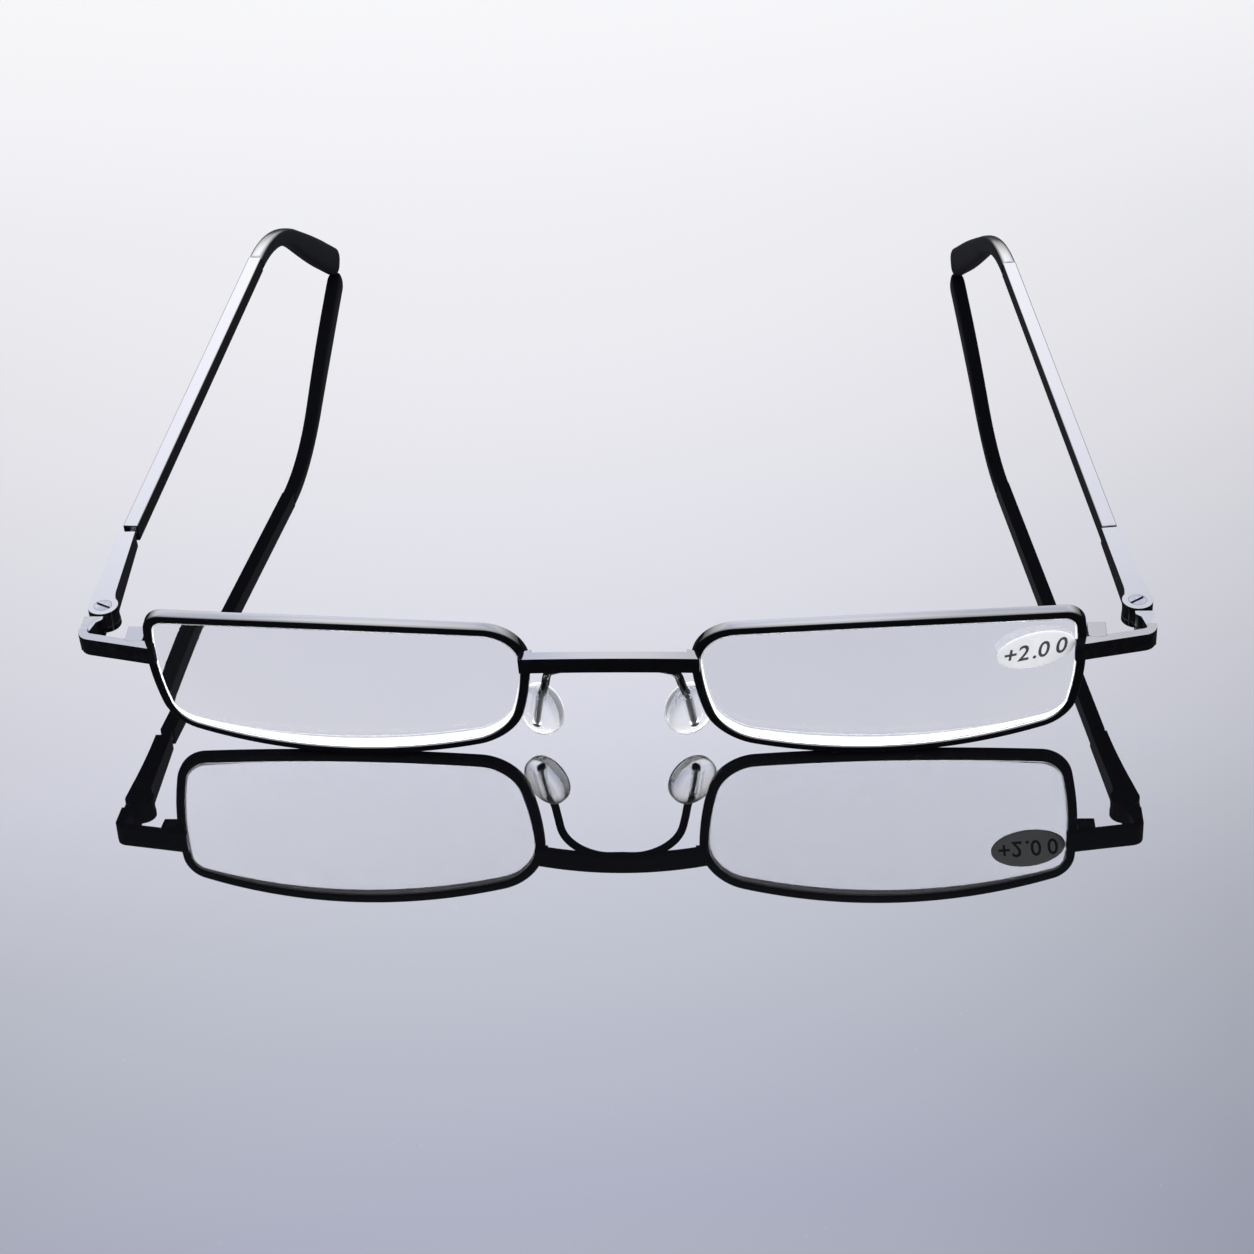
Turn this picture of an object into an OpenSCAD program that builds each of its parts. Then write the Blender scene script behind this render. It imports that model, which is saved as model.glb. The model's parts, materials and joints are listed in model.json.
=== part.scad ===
// Rectangular metal reading glasses, standing open on a table.
// Millimetres, +Z up. The front faces -Y and the temples run back along +Y.
// The wearer's right side is at -X, the wearer's left side at +X.

/* [Rim outline] */
// Distance from the middle to each rim's upper nose corner
nose_top_x = 10.4; // [9.6:0.1:12]
// Height of the upper nose corner above the rim's lowest line
nose_top_z = 19.8; // [18.5:0.1:21.5]
// Distance from the middle to each rim's upper outer corner
outer_top_x = 58.9; // [56:0.1:62]
// Height of the upper outer corner
outer_top_z = 20.4; // [19.4:0.1:22]
// Distance from the middle to each rim's lower outer corner
outer_low_x = 57.8; // [55.5:0.1:59]
// Height of the lower outer corner
outer_low_z = 2.4; // [1.8:0.1:3.2]
// Distance from the middle to each rim's lower nose corner
nose_low_x = 13.2; // [12:0.1:15]
// Height of the lower nose corner
nose_low_z = 1.8; // [1.2:0.1:2.6]
// How far the top side bows outwards
top_bow = 2.5; // [1.5:0.1:3.2]
// How far the outer side bows outwards
outer_bow = 1; // [0.6:0.1:1.4]
// How far the lower side bows outwards
low_bow = 2; // [1.4:0.1:2.5]
// How far the nose side bows outwards
nose_bow = 1.3; // [0.8:0.1:1.6]
// Set-back of the rounding at the upper nose corner
nose_top_round = 5.4; // [4:0.1:6.5]
// Set-back of the rounding at the upper outer corner
outer_top_round = 2.4; // [2.2:0.1:3.4]
// Set-back of the rounding at the lower outer corner
outer_low_round = 3.3; // [2.6:0.1:4.2]
// Set-back of the rounding at the lower nose corner
nose_low_round = 4.5; // [3.4:0.1:5.4]

/* [Rim wire] */
// Width of the rim wire, seen from the front
rim_w = 1.2; // [0.9:0.05:1.3]
// Depth of the rim wire, front to back
rim_d = 1.4; // [1.3:0.05:1.8]
// Depth of the groove that holds the lens
groove_depth = 0.45; // [0.35:0.05:0.5]
// Width of that groove
groove_w = 0.7; // [0.6:0.05:0.8]
// Width of the cut in each rim behind the closing screw
rim_cut = 0.12; // [0.06:0.02:0.2]

/* [Front] */
// Radius of the ball surface that both rims follow
dome_r = 100; // [90:1:130]
// Lean of the front, its top edge forwards
lean = 8; // [5:0.5:11]
// Distance from the lens front to the hinge screw, front to back
hinge_back = 11.5; // [11:0.1:12.5]
// Distance from the rim's outer side to the hinge screw, sideways
hinge_out = 6.8; // [6.4:0.1:7.4]

/* [Lenses] */
// Thickness of the lens in its middle
lens_t = 2.3; // [2.1:0.05:2.6]
// Radius of the lens's back surface
lens_back_r = 167; // [150:1:180]
// How far the lens front lies behind the rim front
lens_set = 0.15; // [0.1:0.05:0.25]
// Clearance between the lens and the rim
lens_gap = 0.05; // [0.03:0.01:0.1]
// Height of the bevel ridge that stands in the groove
bevel_h = 0.35; // [0.25:0.05:0.38]
// Width of that ridge
bevel_w = 0.45; // [0.3:0.05:0.5]
// Width of the power sticker
label_w = 9.8; // [8:0.1:11]
// Height of the power sticker
label_h = 5.6; // [4.5:0.1:6.5]
// Thickness of the power sticker
label_t = 0.08; // [0.06:0.01:0.12]
// Turn of the sticker on the lens
label_turn = 3; // [0:1:12]
// Distance from the rim's outer corner to the sticker's middle, sideways
label_in = 5.9; // [5.8:0.1:8]
// Distance from the rim's outer corner to the sticker's middle, downwards
label_down = 4.9; // [4.2:0.1:6]

/* [Bridge] */
// Height of the bridge bar, seen from the front
bridge_h = 2.35; // [2:0.05:2.8]
// Thickness of the bridge bar, front to back
bridge_t = 1.3; // [1.1:0.05:1.5]
// Height of the bridge bar's middle line above the rim's lowest line
bridge_mid = 16.2; // [15.4:0.1:16.6]
// How far the bridge bar stands ahead of the lens front
bridge_ahead = 0.25; // [0.1:0.05:0.5]
// Radius of the bridge bar's bow, seen from above
bridge_bow_r = 96; // [80:1:120]
// Radius of the bridge bar's arch, seen from the front
bridge_arch_r = 86; // [70:1:120]

/* [Endpieces] */
// Height of the endpiece bar
endpiece_h = 2.7; // [2.4:0.05:3]
// Thickness of the endpiece bar
endpiece_t = 1.15; // [1:0.05:1.3]
// Height of the endpiece's middle line above the rim's lowest line
endpiece_mid = 14.9; // [14:0.1:15.4]
// Radius of the endpiece's outer corner
corner_r = 1.8; // [1.5:0.1:2.2]
// Width of the closing block behind the rim
block_w = 2.3; // [2:0.1:2.6]
// Depth of the closing block, front to back
block_d = 2.8; // [2.4:0.1:3.2]
// Height of each half of the closing block
block_h = 1.3; // [1.1:0.05:1.5]
// Gap between the halves of the closing block
block_gap = 0.1; // [0.06:0.02:0.2]
// Shank diameter of the closing screw
closing_d = 0.9; // [0.8:0.05:1]

/* [Hinges] */
// Outer radius of the hinge knuckle
knuckle_r = 1.95; // [1.8:0.05:2.1]
// Thickness of the hinge tongue on the endpiece
tongue_t = 1.3; // [1.1:0.05:1.5]
// Thickness of each leaf of the temple's fork
leaf_t = 0.8; // [0.7:0.05:0.95]
// Play between the tongue and each leaf
hinge_play = 0.05; // [0.03:0.01:0.08]
// Shank diameter of the hinge screw
screw_d = 1.2; // [1.1:0.05:1.3]
// Head diameter of the hinge screw
screw_head_d = 2.3; // [2.1:0.05:2.5]
// Radial running clearance of the hinge screw and of the guide pin
run_gap = 0.04; // [0.02:0.01:0.06]

/* [Temple arms] */
// Length of the forged arm, from the hinge screw to its rear end
arm_len = 16.6; // [15:0.1:19]
// Width of the arm at its rear end
arm_w = 2.25; // [2.1:0.05:2.3]
// Diameter of the ball that turns in the arm's rear end
ball_d = 1.36; // [1.3:0.02:1.4]
// Distance from the ball's middle to the arm's rear end
ball_in = 0.9; // [0.85:0.05:1]
// Diameter of the guide pin
pin_d = 0.8; // [0.7:0.05:0.85]
// Length of the guide pin, from the ball to its inner end
pin_len = 13; // [12:0.1:15]
// Furthest outward turn of the tube on the ball
flex_deg = 12; // [8:1:12]
// Gap between the arm and the tube on the wearer's right
joint_gap_right = 1.4; // [0.4:0.1:1.6]
// Gap between the arm and the tube on the wearer's left
joint_gap_left = 0.4; // [0.4:0.1:1.6]

/* [Temple tubes] */
// Width of the temple tube
tube_w = 2; // [1.9:0.05:2.2]
// Height of the temple tube
tube_h = 2.45; // [2.3:0.05:2.7]
// Wall of the temple tube
tube_wall = 0.3; // [0.25:0.05:0.32]
// Length of the temple tube
tube_len = 72.8; // [66:0.2:78]
// Length of the collar that the guide pin slides in
collar_len = 1.6; // [1.2:0.1:2]
// Wire diameter of the return spring
spring_wire = 0.16; // [0.14:0.01:0.18]
// Number of curls of the return spring
spring_curls = 10; // [6:1:12]
// Inward turn of the right arm, outward below zero
arm_turn_right = -1.5; // [-3:0.5:2]
// Extra inward turn of the right tube
tube_turn_right = 4.8; // [3:0.1:6]
// Inward turn of the left arm
arm_turn_left = 7.5; // [4:0.1:8]
// Extra inward turn of the left tube
tube_turn_left = 0.1; // [0:0.1:3]
// Rise of the right temple towards the back
rise_right = 3.5; // [2.5:0.1:4]
// Rise of the left temple towards the back
rise_left = 2.4; // [2:0.1:3.4]

/* [Temple tips] */
// Bend radius of the tip
tip_bend_r = 33; // [28:1:38]
// Straight length of the tip behind the bend
tip_straight = 23.2; // [21:0.2:26]
// Thickness of the tip
tip_t = 2.3; // [2.1:0.05:2.6]
// Height of the tip at its mouth
tip_h = 2.6; // [2.5:0.05:2.8]
// Height of the tip at its widest
paddle_h = 4.8; // [4:0.1:5.6]
// How far the tip's end curves inwards
tip_inset = 1.2; // [0.6:0.1:1.6]
// Diameter of the core wire in the tip
core_d = 1.1; // [0.9:0.05:1.2]
// Length of the core wire's root inside the tube
core_root = 6; // [5:0.5:9]

/* [Nose pads] */
// Diameter of the round pad
pad_d = 6.9; // [6.6:0.1:7.4]
// Thickness of the pad
pad_t = 2.9; // [2.6:0.1:3.2]
// Distance from the middle to each pad's pivot
pad_x = 9.6; // [9.3:0.1:9.9]
// Height of the pad's middle above the table
pad_z = 5.7; // [5.4:0.1:6.4]
// How far behind the lens front each pad's pivot stands
pad_back = 4; // [3.8:0.1:4.4]
// Turn of each pad's face towards the nose
pad_turn = 38; // [34:1:44]
// Outward lean of each pad's lower edge
pad_splay = 10; // [7:1:12]
// Diameter of the pad wire
wire_d = 1.06; // [1:0.02:1.1]
// Diameter of the wire's ends, where the pads turn
pivot_d = 0.6; // [0.54:0.02:0.66]
// Length of each wire end in its pad
pivot_len = 4; // [3.7:0.1:4.3]
// Outer diameter of the clear core moulded into the pad
pad_core_d = 1.2; // [1.1:0.05:1.3]

/* [Hidden] */

RIGHT = -1;
LEFT = 1;
ROUND = 48;
BALL_SIDES = 360;
SEAT = 0.02;

BLACK = "#17171c";
STEEL = "#b9bcc2";
TIP_GREY = "#2d2e33";
CLEAR = [0.93, 0.95, 0.97, 0.35];

// Values that differ between the two sides
function arm_turn(side) = side == RIGHT ? arm_turn_right : arm_turn_left;
function tube_turn(side) = side == RIGHT ? tube_turn_right : tube_turn_left;
function rise(side) = side == RIGHT ? rise_right : rise_left;
function joint_gap(side) = side == RIGHT ? joint_gap_right : joint_gap_left;

// The rim outline: four bowed sides and four rounded corners, as points [x, z] in the front's plane.
// The corners run clockwise from the upper nose corner, so the outside is on the left of each side.
corners = [[nose_top_x, nose_top_z], [outer_top_x, outer_top_z],
    [outer_low_x, outer_low_z], [nose_low_x, nose_low_z]];
bows = [top_bow, outer_bow, low_bow, nose_bow];
rounds = [nose_top_round, outer_top_round, outer_low_round, nose_low_round];
side_steps = [9, 8, 9, 6];
corner_steps = 8;
handle_share = 0.6;

function unit(v) = v / norm(v);
function left_of(v) = [-v.y, v.x];
function side_len(i) = norm(corners[(i + 1) % 4] - corners[i]);
function side_mid(i) = (corners[i] + corners[(i + 1) % 4]) / 2
    + 2 * bows[i] * left_of(unit(corners[(i + 1) % 4] - corners[i]));
function bezier2(a, b, c, t) = (1 - t) * (1 - t) * a + 2 * t * (1 - t) * b + t * t * c;
function slope2(a, b, c, t) = unit((1 - t) * (b - a) + t * (c - b));
function bezier3(a, b, c, d, t) = (1 - t) * (1 - t) * (1 - t) * a + 3 * t * (1 - t) * (1 - t) * b
    + 3 * t * t * (1 - t) * c + t * t * t * d;
function slope3(a, b, c, d, t) = unit((1 - t) * (1 - t) * (b - a) + 2 * t * (1 - t) * (c - b)
    + t * t * (d - c));
function side_point(i, t) = bezier2(corners[i], side_mid(i), corners[(i + 1) % 4], t);
function side_slope(i, t) = slope2(corners[i], side_mid(i), corners[(i + 1) % 4], t);
// One outline entry holds a point and the direction that leads outwards from it.
function side_span(i, t0, t1, steps) = [for (k = [0:steps])
    let (t = t0 + (t1 - t0) * k / steps)
    [side_point(i, t), left_of(side_slope(i, t))]];
function from_t(i) = rounds[i] / side_len(i);
function to_t(i) = 1 - rounds[(i + 1) % 4] / side_len(i);
function whole_side(i) = side_span(i, from_t(i), to_t(i), side_steps[i]);
function corner_span(i) =
    let (h = (i + 3) % 4, a = side_point(h, to_t(h)), d = side_point(i, from_t(i)),
        b = a + handle_share * rounds[i] * side_slope(h, to_t(h)),
        c = d - handle_share * rounds[i] * side_slope(i, from_t(i)))
    [for (k = [1:corner_steps - 1])
        let (t = k / corner_steps)
        [bezier3(a, b, c, d, t), left_of(slope3(a, b, c, d, t))]];

// The rim is cut on its outer side, at the endpiece's middle line.
cut_t = (outer_top_z - endpiece_mid) / (outer_top_z - outer_low_z);
cut_point = side_point(1, cut_t);
function outline(gap) =
    let (g = gap / 2 / side_len(1))
    concat(side_span(1, cut_t + g, to_t(1), 5), corner_span(2), whole_side(2), corner_span(3),
        whole_side(3), corner_span(0), whole_side(0), corner_span(1),
        side_span(1, from_t(1), cut_t - g, 3));
closed_outline = [for (k = [0:len(outline(0)) - 2]) outline(0)[k]];
function inset_outline(inset) = [for (e = closed_outline) e[0] - inset * e[1]];

// The ball surface that the rims follow. Its front point is the middle of the lens front.
dome_x = (nose_top_x + outer_top_x + outer_low_x + nose_low_x) / 4 - 5.6;
dome_z = (nose_top_z + outer_top_z + outer_low_z + nose_low_z) / 4 + 0.2;
function dome_y(p, depth) = dome_r - sqrt((dome_r - depth) * (dome_r - depth)
    - (p.x - dome_x) * (p.x - dome_x) - (p.y - dome_z) * (p.y - dome_z));

// A point [x, y, z] of the leaning front, in upright directions
function upright(p) = [p.x, p.y * cos(lean) - p.z * sin(lean), p.y * sin(lean) + p.z * cos(lean)];
front_lift = -min([for (e = closed_outline) upright([e[0].x, dome_y(e[0], 0), e[0].y]).z]);
function in_space(p) = upright(p) + [0, 0, front_lift];

// Rim section: how far inside the outer line, and how deep behind the front
groove_mid = 0.7;
groove_lo = groove_mid - groove_w / 2;
groove_hi = groove_mid + groove_w / 2;
edge_r = 0.25;
lip = 0.08;
rim_section = [[0, edge_r], [edge_r, 0], [rim_w - lip, 0], [rim_w, lip], [rim_w, groove_lo],
    [rim_w - groove_depth, groove_lo + lip], [rim_w - groove_depth, groove_hi - lip],
    [rim_w, groove_hi], [rim_w, rim_d - lip], [rim_w - lip, rim_d], [edge_r, rim_d],
    [0, rim_d - edge_r]];

// The hinge screw's place
lens_front = in_space([dome_x, 0, dome_z]);
hinge_x = cut_point.x + hinge_out;
hinge_y = lens_front.y + hinge_back;
corner_x = hinge_x + knuckle_r;
bar_front_y = dome_y(cut_point, 0) - endpiece_t - 0.1;
bar_slope = 0.22;
corner_y = bar_front_y + bar_slope * (corner_x - cut_point.x);
corner_place = in_space([corner_x, corner_y + endpiece_t, endpiece_mid]);
mean_rise = (rise_right + rise_left) / 2;
hinge_z = corner_place.z + (hinge_y - corner_place.y) * sin(mean_rise) - 0.15;
stack_h = tongue_t + 2 * hinge_play + 2 * leaf_t;

// Temple places along the arm and the tube, from the ball's middle
ball_v = arm_len - ball_in;
function mouth_v(side) = ball_in + joint_gap(side);
tube_lift = 0.2;
function total_turn(side) = arm_turn(side) + tube_turn(side);
function true_rise(side) = asin(sin(rise(side)) * cos(total_turn(side)));
function bend_start(side) = mouth_v(side) + tube_len;
function bend_height(side) = hinge_z + sin(rise(side)) * ball_v * cos(arm_turn(side))
    + sin(true_rise(side)) * bend_start(side) + tube_lift * cos(rise(side));

// Each tip is bent down until its rounded end rests on the table.
end_r = paddle_h / 2;
tip_reach = sqrt(tip_bend_r * tip_bend_r + tip_straight * tip_straight);
function drop(side) =
    acos((end_r - bend_height(side) + tip_bend_r * cos(true_rise(side))) / tip_reach)
    - atan(tip_straight / tip_bend_r);
function bend_deg(side) = drop(side) + true_rise(side);
function bend_len(side) = tip_bend_r * bend_deg(side) * PI / 180;
function tip_len(side) = bend_len(side) + tip_straight;

// Place and slope of the tip's middle line at a way s from its mouth, as [along, up, angle]
function tip_line(side, s) =
    let (a = min(s, bend_len(side)) / tip_bend_r * 180 / PI, rest = max(s - bend_len(side), 0))
    [tip_bend_r * sin(a) + rest * cos(a), -tip_bend_r * (1 - cos(a)) - rest * sin(a), a];
function tip_side(side, s) = -tip_inset * pow(max(s, 0) / tip_len(side), 2);

// The origin is halfway between the foremost and the rearmost point.
end_line = tip_line(RIGHT, tip_len(RIGHT));
rear_y = hinge_y + cos(rise_right) * ball_v * cos(arm_turn_right)
    + cos(rise_right) * cos(total_turn(RIGHT)) * (bend_start(RIGHT) + end_line.x)
    - sin(rise_right) * (tube_lift + end_line.y) + end_r;
front_y = min(in_space([0, -bridge_ahead, bridge_mid + bridge_h / 2]).y,
    min([for (e = closed_outline) in_space([e[0].x, dome_y(e[0], 0), e[0].y]).y]));
shift_y = -(front_y + rear_y) / 2;

module in_part() {
    translate([0, shift_y, 0]) children();
}
module on_side(side) {
    if (side == LEFT) in_part() children();
    else in_part() mirror([1, 0, 0]) children();
}
module front_frame() {
    translate([0, 0, front_lift]) rotate([lean, 0, 0]) children();
}
module hinge_frame(side) {
    translate([hinge_x, hinge_y, hinge_z]) rotate([rise(side), 0, 0]) children();
}
module arm_frame(side) {
    hinge_frame(side) rotate([0, 0, arm_turn(side)]) children();
}
module tube_frame(side) {
    arm_frame(side) translate([0, ball_v, 0]) rotate([0, 0, tube_turn(side)])
        translate([0, 0, tube_lift]) children();
}
// Turns a cylinder that stands along Z so that it runs along Y.
module along_y() {
    rotate([-90, 0, 0]) children();
}

// A closed skin through rings of points, with flat ends
module skin(rings) {
    n = len(rings[0]);
    last = len(rings) - 1;
    walls = [for (i = [0:last - 1], j = [0:n - 1])
        let (a = i * n + j, b = i * n + (j + 1) % n)
        each [[a, b, b + n], [a, b + n, a + n]]];
    ends = [[for (j = [n - 1:-1:0]) j], [for (j = [0:n - 1]) last * n + j]];
    polyhedron([for (r = rings) each r], concat(walls, ends), convexity = 8);
}

// Rims and lenses
module rim() {
    front_frame() skin([for (e = outline(rim_cut))
        [for (s = rim_section)
            let (p = e[0] - s.x * e[1])
            [p.x, dome_y(p, s.y), p.y]]]);
}
module prism(inset, back) {
    translate([0, back, 0]) rotate([90, 0, 0])
        linear_extrude(back + 3) polygon(inset_outline(inset));
}
module dome_ball(depth) {
    translate([dome_x, dome_r, dome_z]) sphere(dome_r - depth, $fn = BALL_SIDES);
}
module lens() {
    reach = 8;
    front_frame() {
        difference() {
            intersection() {
                prism(rim_w + lens_gap, reach);
                dome_ball(lens_set);
            }
            translate([dome_x, lens_set + lens_t + lens_back_r, dome_z])
                sphere(lens_back_r, $fn = BALL_SIDES);
        }
        difference() {
            intersection() {
                prism(rim_w - bevel_h, reach);
                dome_ball(groove_mid - bevel_w / 2);
            }
            dome_ball(groove_mid + bevel_w / 2);
        }
    }
}
label_x = outer_top_x - label_in;
label_z = outer_top_z - label_down;
module label() {
    oval = [for (k = [0:ROUND - 1])
        [label_w / 2 * cos(k * 360 / ROUND), label_h / 2 * sin(k * 360 / ROUND)]];
    front_frame() difference() {
        intersection() {
            translate([label_x, 8, label_z]) rotate([90, 0, 0]) rotate(label_turn)
                linear_extrude(10) polygon(oval);
            dome_ball(lens_set - label_t - SEAT);
        }
        dome_ball(lens_set - SEAT);
    }
}

// Bridge bar, seated on the fronts of both rims
bridge_end = side_point(3, 0.78).x + rim_w;
solder_w = 1.6;
wire_seat_z = 15.25;
wire_seat_y = in_space([0, -bridge_ahead, bridge_mid]).y + bridge_t;
module bridge() {
    arch_z = bridge_mid + bridge_h / 2 - bridge_arch_r;
    in_part() difference() {
        front_frame() difference() {
            intersection() {
                union() {
                    translate([0, bridge_bow_r - bridge_ahead, 0]) difference() {
                        cylinder(h = 40, r = bridge_bow_r, $fn = BALL_SIDES);
                        translate([0, 0, -1])
                            cylinder(h = 42, r = bridge_bow_r - bridge_t, $fn = BALL_SIDES);
                    }
                    for (side = [RIGHT, LEFT])
                        translate([side * (bridge_end - solder_w / 2), 2, bridge_mid])
                            cube([solder_w, 3, 2 * bridge_h], center = true);
                }
                translate([0, -10, arch_z]) along_y() difference() {
                    cylinder(h = 20, r = bridge_arch_r, $fn = BALL_SIDES);
                    translate([0, 0, -1]) cylinder(h = 22, r = bridge_arch_r - bridge_h, $fn = BALL_SIDES);
                }
                translate([-bridge_end, -4, 0]) cube([2 * bridge_end, 12, 30]);
            }
            dome_ball(-SEAT);
            mirror([1, 0, 0]) dome_ball(-SEAT);
        }
        wire_sweep(SEAT);
    }
}

// The pad wire: one smooth U behind the bridge, with thinner ends that the pads turn on
pad_y = lens_front.y + pad_back;
pivot_rise = pivot_len / 2 + 0.6;
pivot_top = [pad_x - pivot_rise * sin(pad_splay), pad_y, pad_z + pivot_rise * cos(pad_splay)];
wire_route = [[0, wire_seat_y, wire_seat_z], [2.6, wire_seat_y, wire_seat_z - 0.05],
    [4.9, wire_seat_y + 0.3, wire_seat_z - 0.65], [6.7, wire_seat_y + 0.95, wire_seat_z - 1.55],
    [7.8, wire_seat_y + 1.9, wire_seat_z - 2.55], [8.35, pad_y - 0.6, wire_seat_z - 4],
    [8.7, pad_y - 0.15, wire_seat_z - 5.6], pivot_top + [0.03, 0, -0.15]];
function mirrored(route) = [for (k = [len(route) - 1:-1:1]) [-route[k].x, route[k].y, route[k].z]];
whole_route = concat(mirrored(wire_route), wire_route);
function curve_point(route, k, t) =
    let (m = len(route) - 1, a = route[max(k - 1, 0)], b = route[k], c = route[min(k + 1, m)],
        d = route[min(k + 2, m)])
    0.5 * (2 * b + t * (c - a) + t * t * (2 * a - 5 * b + 4 * c - d)
        + t * t * t * (3 * b - a - 3 * c + d));
function curve(route, steps) = concat([for (k = [0:len(route) - 2], s = [0:steps - 1])
    curve_point(route, k, s / steps)], [route[len(route) - 1]]);
function ring(p, along, r, sides) =
    let (w = unit(along), u = unit(cross([0, 1, 0], w)), v = cross(w, u))
    [for (k = [0:sides - 1])
        let (a = -360 * (k + 0.5) / sides)
        p + r * (cos(a) * u + sin(a) * v)];
module wire_sweep(grow) {
    pts = curve(whole_route, 3);
    m = len(pts) - 1;
    skin([for (k = [0:m])
        ring(pts[k], pts[min(k + 1, m)] - pts[max(k - 1, 0)], wire_d / 2 + grow, 10)]);
}
module pad_wire() {
    in_part() {
        wire_sweep(0);
        for (side = [RIGHT, LEFT])
            if (side == LEFT) wire_end();
            else mirror([1, 0, 0]) wire_end();
    }
}
// The pad's own directions: its pivot runs along Z, and its face looks along +Y.
module pad_frame() {
    translate([pad_x, pad_y, pad_z]) rotate([0, -pad_splay, 0]) rotate([0, 0, pad_turn]) children();
}
foot_t = 0.35;
foot_d = 1.1;
module wire_end() {
    pad_frame() {
        translate([0, 0, -pivot_len / 2 - SEAT]) cylinder(h = pivot_len + 0.9, d = pivot_d, $fn = ROUND);
        translate([0, 0, -pivot_len / 2 - SEAT - foot_t]) cylinder(h = foot_t, d = foot_d, $fn = ROUND);
    }
}
module pad_core(side) {
    color(CLEAR) on_side(side) pad_frame() difference() {
        cylinder(h = pivot_len - 0.1, d = pad_core_d, center = true, $fn = ROUND);
        cylinder(h = pivot_len + 1, d = pivot_d + 2 * run_gap, center = true, $fn = ROUND);
    }
}
// The pad is a soft round cushion with a ridge over its core.
pad_off = 0.4;
pad_edge_r = 1;
module nose_pad(side) {
    r = pad_d / 2;
    half = pad_t / 2;
    rim_arc = [for (k = [0:6]) [r - pad_edge_r + pad_edge_r * sin(k * 15),
        half - 0.35 - pad_edge_r + pad_edge_r * cos(k * 15)]];
    back_arc = [for (k = [6:-1:0]) [r - pad_edge_r + pad_edge_r * sin(k * 15),
        -half + pad_edge_r - pad_edge_r * cos(k * 15)]];
    color(CLEAR) on_side(side) pad_frame() difference() {
        union() {
            translate([0, pad_off, 0]) along_y() rotate_extrude($fn = 96)
                polygon(concat([[0, -half], [0, half]], [[r * 0.45, half - 0.08]], rim_arc, back_arc));
            intersection() {
                cylinder(h = pivot_len + 1, d = pad_core_d + 1, center = true, $fn = ROUND);
                translate([0, pad_off, 0]) along_y()
                    cylinder(h = 2 * pad_t, r = r - 0.6, center = true, $fn = 96);
            }
        }
        cylinder(h = pivot_len, d = pad_core_d + 2 * SEAT, center = true, $fn = ROUND);
        translate([0, 0, pivot_len / 2 - 0.1]) cylinder(h = 8, d = wire_d + 0.6, $fn = ROUND);
        translate([0, 0, -pivot_len / 2 + 0.1 - 8]) cylinder(h = 8, d = foot_d + 0.5, $fn = ROUND);
    }
}

// Endpiece: bar on the rim front, outer corner, return and hinge tongue
bar_in = rim_w + 0.3;
back_len = 2.6;
module endpiece(side) {
    x0 = cut_point.x - bar_in;
    y0 = bar_front_y - bar_slope * bar_in;
    bend = atan(bar_slope);
    cx = corner_x - corner_r;
    cy = corner_y + corner_r / cos(bend) - corner_r * bar_slope;
    inner_r = corner_r - endpiece_t;
    angles = [for (k = [0:8]) -90 + bend + (90 - bend) * k / 8];
    outer_arc = [for (a = angles) [cx + corner_r * cos(a), cy + corner_r * sin(a)]];
    inner_arc = [for (k = [8:-1:0]) [cx + inner_r * cos(angles[k]), cy + inner_r * sin(angles[k])]];
    plan = concat([[x0, y0]], outer_arc, [[corner_x, cy + 0.4], [corner_x - endpiece_t, cy + 0.4]],
        inner_arc, [[x0, y0 + endpiece_t / cos(bend)]]);
    neck = corner_place.y - hinge_y;
    color(BLACK) on_side(side) {
        front_frame() difference() {
            translate([0, 0, endpiece_mid - endpiece_h / 2]) linear_extrude(endpiece_h) union() {
                polygon(plan);
                translate([x0, y0 + endpiece_t / 2]) square([bar_in + 0.4, 3]);
            }
            dome_ball(-SEAT);
            translate([block_x, block_y, 0]) linear_extrude(2 * endpiece_mid) block_plan(SEAT);
        }
        hinge_frame(side) difference() {
            union() {
                translate([0, 0, -endpiece_h / 2]) linear_extrude(endpiece_h)
                    polygon([[knuckle_r - endpiece_t, neck - 0.2], [knuckle_r, neck - 0.2],
                        [knuckle_r, -knuckle_r - 0.25], [-0.5, -knuckle_r - 0.25],
                        [-0.5, -knuckle_r - 0.9], [0.2, -knuckle_r - 1.5]]);
                translate([0, 0, -tongue_t / 2]) linear_extrude(tongue_t) union() {
                    circle(knuckle_r - 0.05, $fn = ROUND);
                    translate([-0.5, -knuckle_r - 0.5]) square([knuckle_r + 0.5, knuckle_r + 0.5]);
                }
            }
            cylinder(h = 6, d = screw_d + 2 * run_gap, center = true, $fn = ROUND);
        }
    }
}

// Closing block: two halves behind the rim, drawn together by one screw from below
block_reach = block_gap / 2 + block_h;
block_rim_x = max([for (z = [-1, 0, 1]) side_point(1, cut_t + z * block_reach / side_len(1)).x]);
block_x = block_rim_x + 0.1 + block_w / 2;
block_y = dome_y(cut_point, 0) + block_d / 2;
closing_head_d = 1.5;
closing_head_t = 0.4;
module block_plan(grow) {
    offset(delta = grow) intersection() {
        square([block_w, block_d], center = true);
        translate([0, 0.2]) circle(block_d / 2 + 0.35, $fn = ROUND);
    }
}
module block_half(side, up) {
    color(BLACK) on_side(side) front_frame() translate([block_x, block_y, endpiece_mid]) difference() {
        translate([0, 0, up > 0 ? block_gap / 2 : -block_gap / 2 - block_h])
            linear_extrude(block_h) block_plan(0);
        translate([0, 0.1, up > 0 ? -1 : -5]) cylinder(h = up > 0 ? 1 + block_h * 0.7 : 6,
            d = closing_d + 2 * SEAT, $fn = ROUND);
        if (up < 0) translate([0, 0.1, -block_gap / 2 - block_h - 1])
            cylinder(h = 1 + closing_head_t, d = closing_head_d + 2 * SEAT, $fn = ROUND);
    }
}
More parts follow.
